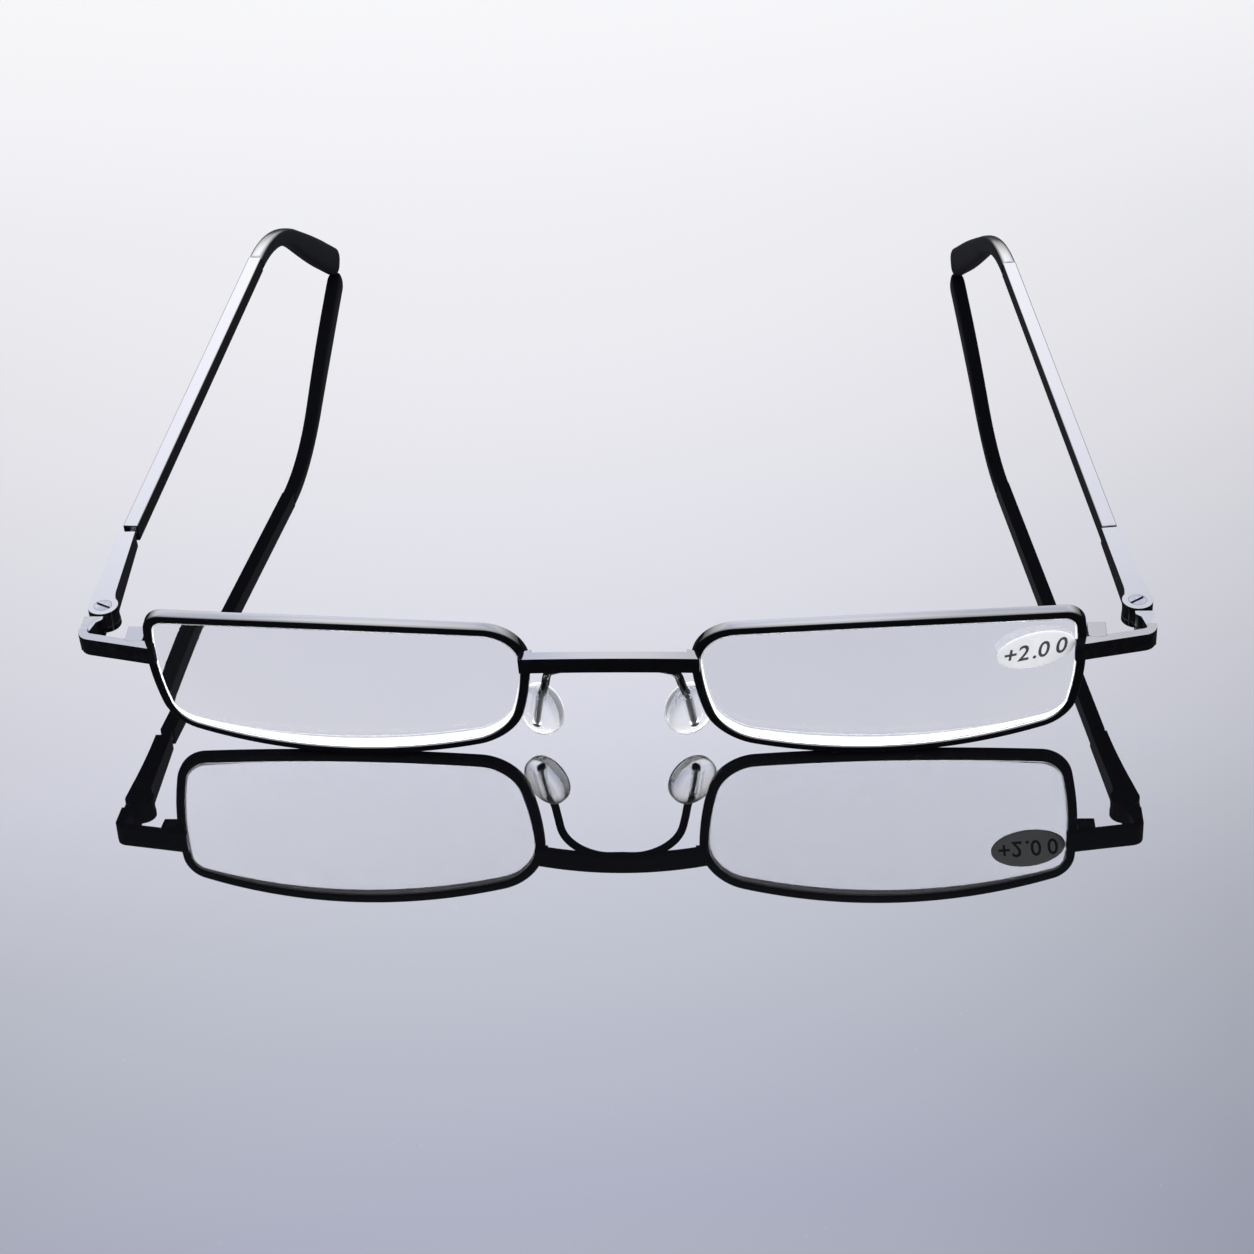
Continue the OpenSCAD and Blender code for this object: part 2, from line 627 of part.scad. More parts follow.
module closing_screws() {
    color(STEEL) for (side = [RIGHT, LEFT]) on_side(side) front_frame()
        translate([block_x, block_y + 0.1, endpiece_mid]) difference() {
            union() {
                translate([0, 0, -block_gap / 2 - block_h + 0.05])
                    cylinder(h = block_h * 1.6, d = closing_d, $fn = ROUND);
                translate([0, 0, -block_gap / 2 - block_h + 0.05])
                    cylinder(h = closing_head_t - 0.07, d = closing_head_d, $fn = ROUND);
            }
            translate([0, 0, -block_gap / 2 - block_h]) cube([3, 0.3, 0.35], center = true);
        }
}

// Hinge screw with a slotted countersunk head, flush with the upper leaf
head_t = (screw_head_d - screw_d) / 2;
slot_w = 0.35;
slot_depth = 0.28;
module hinge_screw(side) {
    color(STEEL) on_side(side) arm_frame(side) difference() {
        union() {
            translate([0, 0, -stack_h / 2 + 0.05]) cylinder(h = stack_h - 0.05, d = screw_d, $fn = ROUND);
            translate([0, 0, stack_h / 2 - head_t])
                cylinder(h = head_t, d1 = screw_d, d2 = screw_head_d, $fn = ROUND);
        }
        translate([0, 0, stack_h / 2]) rotate(30) cube([4, slot_w, 2 * slot_depth], center = true);
    }
}

// Temple arm: fork at the hinge, then a bar that narrows to the ball socket
waist_v = 3.2;
function arm_edge(side_u, v) = v < waist_v && side_u < 0
    ? -(arm_w / 2 + (knuckle_r - arm_w / 2) * pow(1 - v / waist_v, 2))
    : side_u * (arm_w / 2 + (side_u > 0 ? (knuckle_r - arm_w / 2) * pow(1 - v / arm_len, 2) : 0));
socket_d = ball_d + 2 * run_gap;
swing = flex_deg + 1.5;
module arm(side) {
    outer_edge = [for (k = [0:12]) let (v = arm_len * k / 12) [arm_edge(1, v), v]];
    inner_edge = [for (k = [12:-1:0]) let (v = waist_v * k / 12) [arm_edge(-1, v), v]];
    rear_h = tube_h;
    taper = [[0, stack_h / 2], [knuckle_r + 1, stack_h / 2], [arm_len, tube_lift + rear_h / 2],
        [arm_len, tube_lift - rear_h / 2], [knuckle_r + 1, -stack_h / 2], [0, -stack_h / 2]];
    color(BLACK) on_side(side) arm_frame(side) difference() {
        union() {
            cylinder(h = stack_h, r = knuckle_r, center = true, $fn = ROUND);
            intersection() {
                translate([0, 0, -4]) linear_extrude(8)
                    polygon(concat(outer_edge, [[-arm_w / 2, arm_len]], inner_edge));
                translate([-4, 0, 0]) rotate([90, 0, 90]) linear_extrude(8) polygon(taper);
            }
        }
        cylinder(h = tongue_t + 2 * hinge_play, r = knuckle_r + 0.1, center = true, $fn = ROUND);
        cylinder(h = 8, d = screw_d + 2 * SEAT, center = true, $fn = ROUND);
        translate([0, 0, stack_h / 2 - head_t]) cylinder(h = head_t + 1, d1 = screw_d + 2 * SEAT,
            d2 = screw_d + 2 * SEAT + (screw_head_d - screw_d) * (1 + 1 / head_t), $fn = ROUND);
        translate([0, ball_v, tube_lift]) {
            sphere(d = socket_d, $fn = 96);
            along_y() cylinder(h = ball_in + 0.01, d1 = pin_d / cos(swing) + 0.04,
                d2 = pin_d / cos(swing) + 0.04 + 2 * (ball_in + 0.01) * tan(swing), $fn = ROUND);
        }
    }
}

// Guide pin with its ball, the nut on its inner end and the spring between nut and collar
nut_len = 1;
function cavity_w() = tube_w - 2 * tube_wall;
function cavity_h() = tube_h - 2 * tube_wall;
module guide_pin(side) {
    color(STEEL) on_side(side) tube_frame(side) {
        sphere(d = ball_d, $fn = 96);
        along_y() cylinder(h = pin_len, d = pin_d, $fn = ROUND);
    }
}
nut_d = cavity_w() - 0.12;
module pin_nut(side) {
    color(STEEL) on_side(side) tube_frame(side) translate([0, pin_len - nut_len, 0]) along_y() difference() {
        cylinder(h = nut_len, d = nut_d, $fn = ROUND);
        translate([0, 0, -1]) cylinder(h = nut_len + 2, d = pin_d + 2 * SEAT, $fn = ROUND);
    }
}
module guide_collar(side) {
    color(STEEL) on_side(side) tube_frame(side) translate([0, mouth_v(side) + 0.3, 0]) difference() {
        translate([-cavity_w() / 2 + SEAT, 0, -cavity_h() / 2 + SEAT])
            cube([cavity_w() - 2 * SEAT, collar_len, cavity_h() - 2 * SEAT]);
        along_y() translate([0, 0, -1]) cylinder(h = collar_len + 2, d = pin_d + 2 * run_gap, $fn = ROUND);
    }
}
// Travel of the tube along the pin at the furthest outward turn
flex_travel = tube_w / 2 * sin(flex_deg);
spring_end_gap = 0.08;
spring_r = (pin_d + nut_d) / 4 + 0.02;
function spring_from(side) = mouth_v(side) + 0.3 + collar_len + spring_wire / 2 + 0.02;
function spring_to(side) = pin_len - nut_len - spring_wire / 2 - flex_travel - spring_end_gap;
spring_ring_steps = 8;
function spring_pitch(side) = (spring_to(side) - spring_from(side)) / spring_curls;
function spring_point(side, turn) = [spring_r * cos(turn * 360), spring_from(side)
    + spring_pitch(side) * turn, spring_r * sin(turn * 360)];
function spring_ring(side, turn) =
    let (p = spring_point(side, turn), out = [cos(turn * 360), 0, sin(turn * 360)],
        w = unit(spring_point(side, turn + 0.01) - spring_point(side, turn - 0.01)), v = cross(w, out))
    [for (k = [0:5]) p + spring_wire / 2 * (cos(60 * k) * out + sin(60 * k) * v)];
module return_spring(side) {
    color(STEEL) on_side(side) tube_frame(side)
        skin([for (k = [0:spring_curls * spring_ring_steps]) spring_ring(side, k / spring_ring_steps)]);
}
echo(least_spring_gap = min(spring_pitch(RIGHT), spring_pitch(LEFT)) - spring_wire);

// Temple tube: a slim rectangular tube, open at both ends
module temple_tube(side) {
    color(BLACK) on_side(side) tube_frame(side) translate([0, mouth_v(side), 0]) difference() {
        translate([-tube_w / 2, 0, -tube_h / 2]) cube([tube_w, tube_len, tube_h]);
        translate([-cavity_w() / 2, -1, -cavity_h() / 2]) cube([cavity_w(), tube_len + 2, cavity_h()]);
    }
}

// Tip: a satin sleeve that bends down behind the ear and widens to a flat rounded end
tip_sides = 16;
squareness = 0.62;
function tip_height(side, s) =
    let (q = max(0, s - bend_len(side) * 0.5) / (tip_len(side) - bend_len(side) * 0.5))
    tip_h + (paddle_h - tip_h) * pow(sin(90 * min(1, q * 1.25)), 2);
// An end cap shrinks the last stretch to a half circle.
function cap_share(side, s) =
    let (over = max(0, s - tip_len(side)) / end_r)
    sqrt(max(0, 1 - over * over));
function tip_ring(side, s, w, h) =
    let (l = tip_line(side, s))
    [for (k = [0:tip_sides - 1])
        let (a = -360 * (k + 0.5) / tip_sides, x = w / 2 * sign(cos(a)) * pow(abs(cos(a)), squareness),
            z = h / 2 * sign(sin(a)) * pow(abs(sin(a)), squareness))
        [tip_side(side, s) + x, l.x + z * sin(l.z), l.y + z * cos(l.z)]];
core_end = 9;
function core_ring(side, s, grow) = tip_ring(side, s, core_d * 0.8 + grow, core_d + grow);
function tip_rings(side) =
    let (n = 22, m = 8, full = tip_len(side), core_tip = full - core_end)
    concat([for (k = [m:-1:0]) core_ring(side, core_tip * k / m + (k == m ? 0.2 : 0), 2 * SEAT)],
        [for (k = [0:n]) tip_ring(side, full * k / n, tip_t, tip_height(side, full * k / n))],
        [for (a = [15:15:75]) tip_ring(side, full + end_r * sin(a), tip_t * pow(cos(a), 0.6),
            paddle_h * cos(a))]);
module tip_frame(side) {
    tube_frame(side) translate([0, bend_start(side), 0]) children();
}
module temple_tip(side) {
    color(TIP_GREY) on_side(side) tip_frame(side) skin(tip_rings(side));
}
module tip_core(side) {
    full = tip_len(side) - core_end;
    color(STEEL) on_side(side) tip_frame(side)
        skin(concat([[for (p = core_ring(side, 0, 0)) p - [0, core_root, 0]]],
            [for (k = [0:8]) core_ring(side, full * k / 8, 0)]));
}

color(BLACK) on_side(RIGHT) rim();  // rim_right
color(BLACK) on_side(LEFT) rim();  // rim_left
color(CLEAR) on_side(RIGHT) lens();  // lens_right
color(CLEAR) on_side(LEFT) lens();  // lens_left
color("white") on_side(LEFT) label();  // power_label
color(BLACK) bridge();  // bridge_bar
color(BLACK) pad_wire();
pad_core(RIGHT);  // pad_core_right
pad_core(LEFT);  // pad_core_left
nose_pad(RIGHT);  // nose_pad_right
nose_pad(LEFT);  // nose_pad_left
endpiece(RIGHT);  // endpiece_right
endpiece(LEFT);  // endpiece_left
block_half(RIGHT, 1);  // closing_block_upper_right
block_half(LEFT, 1);  // closing_block_upper_left
block_half(RIGHT, -1);  // closing_block_lower_right
block_half(LEFT, -1);  // closing_block_lower_left
closing_screws();
hinge_screw(RIGHT);  // hinge_screw_right
hinge_screw(LEFT);  // hinge_screw_left
arm(RIGHT);  // temple_arm_right
arm(LEFT);  // temple_arm_left
guide_pin(RIGHT);  // guide_pin_right
guide_pin(LEFT);  // guide_pin_left
pin_nut(RIGHT);  // pin_nut_right
pin_nut(LEFT);  // pin_nut_left
return_spring(RIGHT);  // return_spring_right
return_spring(LEFT);  // return_spring_left
guide_collar(RIGHT);  // guide_collar_right
guide_collar(LEFT);  // guide_collar_left
temple_tube(RIGHT);  // temple_tube_right
temple_tube(LEFT);  // temple_tube_left
tip_core(RIGHT);  // tip_core_right
tip_core(LEFT);  // tip_core_left
temple_tip(RIGHT);  // temple_tip_right
temple_tip(LEFT);  // temple_tip_left
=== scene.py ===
# %% [markdown]
# # Rectangular reading glasses
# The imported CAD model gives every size, place and joint. This lesson dresses it: each step says what the piece is
# on the real glasses, how it could be made in Blender, and why this way was chosen.

# %% Load the frame
import bpy, bmesh, json, math
from mathutils import Matrix, Vector

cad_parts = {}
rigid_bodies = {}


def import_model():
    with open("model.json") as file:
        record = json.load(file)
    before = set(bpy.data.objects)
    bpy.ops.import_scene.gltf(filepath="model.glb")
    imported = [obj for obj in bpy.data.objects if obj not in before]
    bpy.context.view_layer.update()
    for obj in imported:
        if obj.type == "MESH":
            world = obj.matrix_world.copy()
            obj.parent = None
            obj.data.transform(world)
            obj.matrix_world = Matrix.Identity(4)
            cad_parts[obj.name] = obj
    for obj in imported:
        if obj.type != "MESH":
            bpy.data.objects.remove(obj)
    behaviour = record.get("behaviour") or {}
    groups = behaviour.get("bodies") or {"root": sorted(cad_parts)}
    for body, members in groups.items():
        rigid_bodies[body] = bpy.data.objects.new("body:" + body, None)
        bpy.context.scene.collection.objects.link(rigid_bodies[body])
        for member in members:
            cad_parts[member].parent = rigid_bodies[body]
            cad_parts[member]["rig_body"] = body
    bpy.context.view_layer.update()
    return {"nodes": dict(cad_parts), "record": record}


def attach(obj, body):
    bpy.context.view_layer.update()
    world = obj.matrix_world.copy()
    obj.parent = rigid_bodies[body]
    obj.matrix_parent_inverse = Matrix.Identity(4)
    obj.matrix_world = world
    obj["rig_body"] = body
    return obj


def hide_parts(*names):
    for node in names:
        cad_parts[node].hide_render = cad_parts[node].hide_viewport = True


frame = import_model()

MM = 0.001

# %% [markdown]
# ## Camera
# A photograph fixes its own camera. The place, the turn and the focal length here were solved from points on the
# glasses and from the same points in the table's reflection. The small shift says that the picture was cropped
# from a larger one, so its middle isn't on the lens axis.

# %% Camera
PICTURE = 1254
SENSOR = 36
camera_place = Vector((30.83, -348.64, 205.33)) * MM
focal_px, centre_px = 2710.79, (696.26, 629.28)
yaw, pitch, roll = (math.radians(a) for a in (4.07, 33.63, 2.53))

turn = Matrix.Rotation(yaw, 3, "Z")
forwards = turn @ Vector((0, math.cos(pitch), -math.sin(pitch)))
level = turn @ Vector((1, 0, 0))
down = turn @ Vector((0, -math.sin(pitch), -math.cos(pitch)))
right = math.cos(roll) * level + math.sin(roll) * down
lower = -math.sin(roll) * level + math.cos(roll) * down

camera = bpy.data.objects.new("camera", bpy.data.cameras.new("camera"))
camera.data.lens = SENSOR * focal_px / PICTURE
camera.data.shift_x = 0.5 - centre_px[0] / PICTURE
camera.data.shift_y = centre_px[1] / PICTURE - 0.5
camera.data.clip_start = 0.01
camera.matrix_world = Matrix((right, -lower, -forwards)).transposed().to_4x4()
camera.location = camera_place
bpy.context.scene.collection.objects.link(camera)
bpy.context.scene.camera = camera
print("focal length", round(camera.data.lens, 2), "mm")

# %% [markdown]
# ## Places read from the frame
# The glasses are dressed from the same named sizes that the CAD source uses, in millimetres, and each is named where
# it is first needed. Two places aren't repeated but read back from the joints: where the lens front stands, and
# where each hinge screw stands. The frame calls the two halves right and left, with the right one at -X.

# %% Places read from the frame
SIDES = {"right": -1, "left": 1}
PAD_BACK = 4.0
JOINTS = {j["name"]: j for j in frame["record"]["behaviour"]["joints"]}
LENS_FRONT_Y = JOINTS["pad_rock_left"]["pos_m"][1] / MM - PAD_BACK
HINGE = {side: Vector(JOINTS["temple_fold_" + name]["pos_m"]) / MM for name, side in SIDES.items()}
print("lens front at y =", round(LENS_FRONT_Y, 3), "mm")
print("hinges at", {name: [round(v, 2) for v in HINGE[side]] for name, side in SIDES.items()})

# %% [markdown]
# ## The rim outline
# Each rim is a rounded rectangle whose four sides bow outwards. A side is a curve with one handle, a corner is a
# curve with two handles that lie along its neighbours, so the line never kinks. The functions give a point and the
# direction that leads outwards, because the rim, the lens and its edge are all the same line moved in or out.

# %% Sides of a rim
# The corners of the flat front, as (x, height)
CORNERS = [Vector(c) for c in ((10.4, 19.8), (58.9, 20.4), (57.8, 2.4), (13.2, 1.8))]
BOWS = (2.5, 1.0, 2.0, 1.3)

def left_of(v):
    return Vector((-v.y, v.x))

def side_len(i):
    return (CORNERS[(i + 1) % 4] - CORNERS[i]).length

def side_point(i, t):
    a, c = CORNERS[i], CORNERS[(i + 1) % 4]
    b = (a + c) / 2 + 2 * BOWS[i] * left_of((c - a).normalized())
    return (1 - t) ** 2 * a + 2 * t * (1 - t) * b + t * t * c

def side_slope(i, t, near=0.001):
    return (side_point(i, t + near) - side_point(i, t - near)).normalized()

def side_span(i, t0, t1, steps):
    ts = [t0 + (t1 - t0) * k / steps for k in range(steps + 1)]
    return [(side_point(i, t), left_of(side_slope(i, t))) for t in ts]

# %% Corners of a rim
ROUNDS, HANDLE_SHARE = (5.4, 2.4, 3.3, 4.5), 0.6

def from_t(i):
    return ROUNDS[i] / side_len(i)

def to_t(i):
    return 1 - ROUNDS[(i + 1) % 4] / side_len(i)

def corner_span(i, steps=14):
    h = (i + 3) % 4
    a, d = side_point(h, to_t(h)), side_point(i, from_t(i))
    b = a + HANDLE_SHARE * ROUNDS[i] * side_slope(h, to_t(h))
    c = d - HANDLE_SHARE * ROUNDS[i] * side_slope(i, from_t(i))
    span = []
    for k in range(1, steps):
        t = k / steps
        p = (1 - t) ** 3 * a + 3 * t * (1 - t) ** 2 * b + 3 * t * t * (1 - t) * c + t ** 3 * d
        slope = (1 - t) ** 2 * (b - a) + 2 * t * (1 - t) * (c - b) + t * t * (d - c)
        span.append((p, left_of(slope.normalized())))
    return span

# %% Outline of a rim
ENDPIECE_MID = 14.9
CUT_T = (CORNERS[1].y - ENDPIECE_MID) / (CORNERS[1].y - CORNERS[2].y)

def outline(gap=0.0):
    g = gap / 2 / side_len(1)
    span = side_span(1, CUT_T + g, to_t(1), 14) + corner_span(2) + side_span(2, from_t(2), to_t(2), 36)
    span += corner_span(3) + side_span(3, from_t(3), to_t(3), 16) + corner_span(0)
    return span + side_span(0, from_t(0), to_t(0), 40) + corner_span(1) + side_span(1, from_t(1), CUT_T - g, 6)

def closed_outline():
    return outline()[:-1]

print("points round one rim:", len(closed_outline()))

# %% [markdown]
# ## From the leaning front into the room
# The front is drawn flat, x sideways and z up, then laid on a large ball and leant forwards. One function does both,
# for the right and the left half, so every part of the front is placed in the same way.

# %% Placing the front
DOME_R, LEAN = 100.0, math.radians(8)
DOME_IN, DOME_UP = 5.6, 0.2
DOME_X = sum(c.x for c in CORNERS) / 4 - DOME_IN
DOME_Z = sum(c.y for c in CORNERS) / 4 + DOME_UP

def dome_y(x, z, depth):
    return DOME_R - math.sqrt((DOME_R - depth) ** 2 - (x - DOME_X) ** 2 - (z - DOME_Z) ** 2)

def leant(x, y, z):
    return Vector((x, y * math.cos(LEAN) - z * math.sin(LEAN), y * math.sin(LEAN) + z * math.cos(LEAN)))

FRONT_LIFT = -min(leant(p.x, dome_y(p.x, p.y, 0), p.y).z for p, _ in closed_outline())
FRONT_Y = LENS_FRONT_Y - leant(DOME_X, 0, DOME_Z).y

def in_front(side, x, y, z):
    p = leant(x, y, z) + Vector((0, FRONT_Y, FRONT_LIFT))
    return Vector((side * p.x, p.y, p.z)) * MM

print("front lifted by", round(FRONT_LIFT, 4), "mm")

# %% [markdown]
# ## Mesh helpers
# Most pieces here are a skin over rings of points. A shape that is mirrored comes out inside out, so each new mesh
# has its outward side worked out again before it is used. A finished piece gets its material and the body that it
# moves with, and the CAD nodes that it stands for are hidden.

# %% Mesh helpers
def add_object(name, mesh):
    obj = bpy.data.objects.new(name, mesh)
    bpy.context.scene.collection.objects.link(obj)
    return obj

def smooth_by_angle(mesh, degrees=32):
    mesh.shade_smooth()
    mesh.set_sharp_from_angle(angle=math.radians(degrees))

def settle(mesh, merge=1e-7, degrees=32):
    bm = bmesh.new()
    bm.from_mesh(mesh)
    bmesh.ops.remove_doubles(bm, verts=bm.verts, dist=merge)
    bmesh.ops.recalc_face_normals(bm, faces=bm.faces)
    bm.to_mesh(mesh)
    bm.free()
    smooth_by_angle(mesh, degrees)
    return mesh

def round_angles(count, start=0.0):
    return [2 * math.pi * (k + start) / count for k in range(count)]

def skin(name, rings, degrees=32):
    n, points = len(rings[0]), [p for ring in rings for p in ring]
    faces = [(a + j, a + (j + 1) % n, a + n + (j + 1) % n, a + n + j)
             for a in range(0, len(points) - n, n) for j in range(n)]
    faces += [tuple(range(n - 1, -1, -1)), tuple(range(len(points) - n, len(points)))]
    mesh = bpy.data.meshes.new(name)
    mesh.from_pydata(points, [], faces)
    return settle(mesh, degrees=degrees)

# %% Finishing a piece
def finish_piece(obj, body, slot_name, material, *nodes):
    obj.data.materials.clear()
    obj.data.materials.append(material)
    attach(obj, body)
    if nodes:
        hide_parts(*nodes)
    print(obj.name, "rides on", body, "and has", len(obj.data.polygons), "faces")

# %% [markdown]
# ## Shader groups
# Four effects return on several finishes: a fine grain, smudges from handling, wear on sharp edges and dust. Each is
# built once as a node group that puts out a mask or a height, and each finish places it with its own values.

# %% Node helpers
def feed(tree, socket, value):
    if isinstance(value, bpy.types.NodeSocket):
        tree.links.new(value, socket)
    else:
        socket.default_value = value

def wired(tree, kind, **inputs):
    node = tree.nodes.new(kind)
    for label, value in inputs.items():
        feed(tree, node.inputs[label.replace("_", " ")], value)
    return node

# %% Sums and noise in a tree
def maths(tree, operation, a, b=0.0):
    node = tree.nodes.new("ShaderNodeMath")
    node.operation = operation
    feed(tree, node.inputs[0], a)
    feed(tree, node.inputs[1], b)
    return node.outputs[0]

def product(tree, value, *others):
    for other in others:
        value = maths(tree, "MULTIPLY", value, other)
    return value

def spread(tree, value, low, high, to_low=0.0, to_high=1.0):
    node = tree.nodes.new("ShaderNodeMapRange")
    node.clamp = True
    for socket, v in zip(node.inputs, (value, low, high, to_low, to_high)):
        feed(tree, socket, v)
    return node.outputs[0]

def noise(tree, place, scale, detail, roughness=0.5):
    return wired(tree, "ShaderNodeTexNoise", Vector=place, Scale=scale, Detail=detail,
                 Roughness=roughness).outputs["Fac"]

# %% Starting a shader group
def shader_group(name, scale, *outputs):
    tree = bpy.data.node_groups.new(name, "ShaderNodeTree")
    for label, value in (("Scale", scale), ("Amount", 1.0)):
        socket = tree.interface.new_socket(label, in_out="INPUT", socket_type="NodeSocketFloat")
        socket.default_value = value
    for label in outputs:
        tree.interface.new_socket(label, in_out="OUTPUT", socket_type="NodeSocketFloat")
    ins, outs = tree.nodes.new("NodeGroupInput"), tree.nodes.new("NodeGroupOutput")
    return tree, ins.outputs, outs.inputs, tree.nodes.new("ShaderNodeTexCoord").outputs["Object"]

# %% Fine grain: the height and tone of a coat or a moulding
def build_fine_grain():
    tree, ins, outs, place = shader_group("fine_grain", 3000.0, "Height", "Tone")
    fine = noise(tree, place, ins["Scale"], 4.0, 0.6)
    broad = noise(tree, place, product(tree, ins["Scale"], 0.11), 2.0)
    tree.links.new(product(tree, fine, ins["Amount"]), outs["Height"])
    tree.links.new(spread(tree, broad, 0.3, 0.7), outs["Tone"])
    return tree

# %% Smudges: soft patches that fingers leave on gloss
def build_smudges():
    tree, ins, outs, place = shader_group("handling_smudges", 150.0, "Mask")
    patch = spread(tree, noise(tree, place, ins["Scale"], 5.0, 0.55), 0.48, 0.72)
    streak = noise(tree, place, product(tree, ins["Scale"], 9.0), 2.0)
    tree.links.new(product(tree, patch, streak, ins["Amount"]), outs["Mask"])
    return tree

# %% Edge wear: a thin polished line where an edge is touched most
def build_edge_wear():
    tree, ins, outs, place = shader_group("edge_wear", 900.0, "Mask")
    sharp = spread(tree, tree.nodes.new("ShaderNodeNewGeometry").outputs["Pointiness"], 0.53, 0.62)
    broken = spread(tree, noise(tree, place, ins["Scale"], 4.0, 0.7), 0.45, 0.65)
    tree.links.new(product(tree, sharp, broken, ins["Amount"]), outs["Mask"])
    return tree

# %% Dust: small pale specks
def build_dust():
    tree, ins, outs, place = shader_group("dust_specks", 900.0, "Mask")
    cells = wired(tree, "ShaderNodeTexVoronoi", Vector=place, Scale=ins["Scale"])
    speck = spread(tree, cells.outputs["Distance"], 0.05, 0.11, 1.0, 0.0)
    rare = spread(tree, noise(tree, place, product(tree, ins["Scale"], 0.35), 1.0), 0.58, 0.66)
    tree.links.new(product(tree, speck, rare, ins["Amount"]), outs["Mask"])
    return tree

GROUPS = {"fine_grain": build_fine_grain(), "handling_smudges": build_smudges(),
          "edge_wear": build_edge_wear(), "dust_specks": build_dust()}
print("shader groups:", ", ".join(GROUPS))

# %% [markdown]
# ## Finishes
# A finish starts from one shader whose constant values sit on its own sockets. Real surfaces are never even, so the
# same layers return on all of them. Two tones of grain, worn edges and dust change the colour. Smudges, or the grain
# itself, change the roughness, and the grain makes the small bumps. One function lays these on with the values of
# each finish: wear and dust are a scale, a strength and a colour, smudges are a scale and the span of their mask.

# %% Helpers for a finish
def placed(tree, group, scale, amount=1.0):
    node = tree.nodes.new("ShaderNodeGroup")
    node.node_tree = GROUPS[group]
    node.inputs["Scale"].default_value = scale
    node.inputs["Amount"].default_value = amount
    return node.outputs

def colour_between(tree, mask, low, high):
    node = tree.nodes.new("ShaderNodeMix")
    node.data_type = "RGBA"
    feed(tree, node.inputs["Factor"], mask)
    feed(tree, node.inputs[6], (*low, 1.0) if isinstance(low, tuple) else low)
    feed(tree, node.inputs[7], (*high, 1.0))
    return node.outputs[2]

# %% Layers of a finish
def layered(name, grain, tones, rough, bump=None, wear=None, dust=None, smudge=None, **constants):
    material = bpy.data.materials.new(name)
    material.use_nodes = True
    tree, shader = material.node_tree, material.node_tree.nodes["Principled BSDF"]
    for label, value in constants.items():
        shader.inputs[label.replace("_", " ")].default_value = value
    grain = placed(tree, "fine_grain", grain)
    colour = colour_between(tree, grain["Tone"], *tones)
    for group, layer in (("edge_wear", wear), ("dust_specks", dust)):
        if layer:
            scale, amount, tint = layer
            colour = colour_between(tree, placed(tree, group, scale, amount)["Mask"], colour, tint)
    tree.links.new(colour, shader.inputs["Base Color"])
    mask, low, high = grain["Height"], 0.3, 0.7
    if smudge:
        scale, low, high = smudge
        mask = placed(tree, "handling_smudges", scale)["Mask"]
    tree.links.new(spread(tree, mask, low, high, *rough), shader.inputs["Roughness"])
    if bump:
        distance, strength = bump
        dents = wired(tree, "ShaderNodeBump", Height=grain["Height"], Distance=distance, Strength=strength)
        tree.links.new(dents.outputs[0], shader.inputs["Normal"])
    print("finish", name)
    return material

# %% Mixing whole shaders
def plain_shader(tree, kind, colour):
    return wired(tree, "ShaderNode" + kind, Color=(*colour, 1.0)).outputs[0]

def mixed(tree, share, first, second):
    mix = tree.nodes.new("ShaderNodeMixShader")
    for socket, value in zip(mix.inputs, (share, first, second)):
        tree.links.new(value, socket)
    return mix.outputs[0]

def surface_of(material):
    return material.node_tree.nodes["Principled BSDF"].outputs[0]

def show(material, surface):
    material.node_tree.links.new(surface, material.node_tree.nodes["Material Output"].inputs["Surface"])

# %% [markdown]
# The metal of rims, bridge and temples has a glossy black coat. It is nearly a mirror, so its look comes from what
# it reflects: pale above, dark below. The coat is a little uneven, duller where it is handled, and thin on edges.

# %% Black coat
BLACK = layered("black_coat", grain=1500.0, tones=((0.0011, 0.0012, 0.0018), (0.0021, 0.0022, 0.0032)),
                rough=(0.06, 0.13), bump=(1e-6, 0.12), wear=(1200.0, 0.06, (0.06, 0.06, 0.07)),
                dust=(1300.0, 0.1, (0.30, 0.30, 0.31)), smudge=(130.0, 0.0, 0.6), IOR=1.48)

# %% [markdown]
# Guide pins, collars, nuts, tip cores and springs are bare steel. Turning leaves a fine tooth, so the roughness and
# the bump come from a dense noise, and the colour varies a little.

# %% Bare steel
STEEL = layered("bare_steel", grain=4200.0, tones=((0.42, 0.42, 0.43), (0.58, 0.58, 0.60)), rough=(0.18, 0.34),
                bump=(5e-6, 0.5), wear=(1500.0, 0.5, (0.80, 0.80, 0.82)), Metallic=1.0)

# %% [markdown]
# The hinge screws are steel too, but blackened. An oil bath gives such screws a dark skin, which stays metallic and
# wears off along the slot and the rim of the head, so the same recipe gets dark tones and a paler wear.

# %% Blackened screw steel
SCREW_STEEL = layered("blackened_steel", grain=3600.0, tones=((0.034, 0.034, 0.039), (0.056, 0.056, 0.064)),
                      rough=(0.20, 0.34), bump=(5e-6, 0.4), wear=(1800.0, 0.4, (0.14, 0.14, 0.15)), Metallic=1.0)

# %% [markdown]
# The temple tips are a satin dark plastic. A moulded satin face is thousands of shallow dimples, which spread the
# reflection into a soft sheen. Handling polishes it, so here the smudges are smoother than the rest.

# %% Satin tips
TIP = layered("satin_tip", grain=5200.0, tones=((0.0024, 0.0028, 0.0038), (0.0042, 0.0048, 0.0062)),
              rough=(0.19, 0.13), bump=(6e-6, 0.4), dust=(1100.0, 0.15, (0.28, 0.28, 0.29)),
              smudge=(110.0, 0.0, 0.6), IOR=1.5)

# %% [markdown]
# The lenses are clear hard plastic. Glass casts a black shadow in a path tracer unless shadow rays may pass, so the
# material swaps to a see-through shader for those rays alone. Faint smudges dull it here and there.

# %% Clear lens
def let_shadow_through(material, surface, tint):
    tree = material.node_tree
    shadow = tree.nodes.new("ShaderNodeLightPath").outputs["Is Shadow Ray"]
    show(material, mixed(tree, shadow, surface, plain_shader(tree, "BsdfTransparent", tint)))

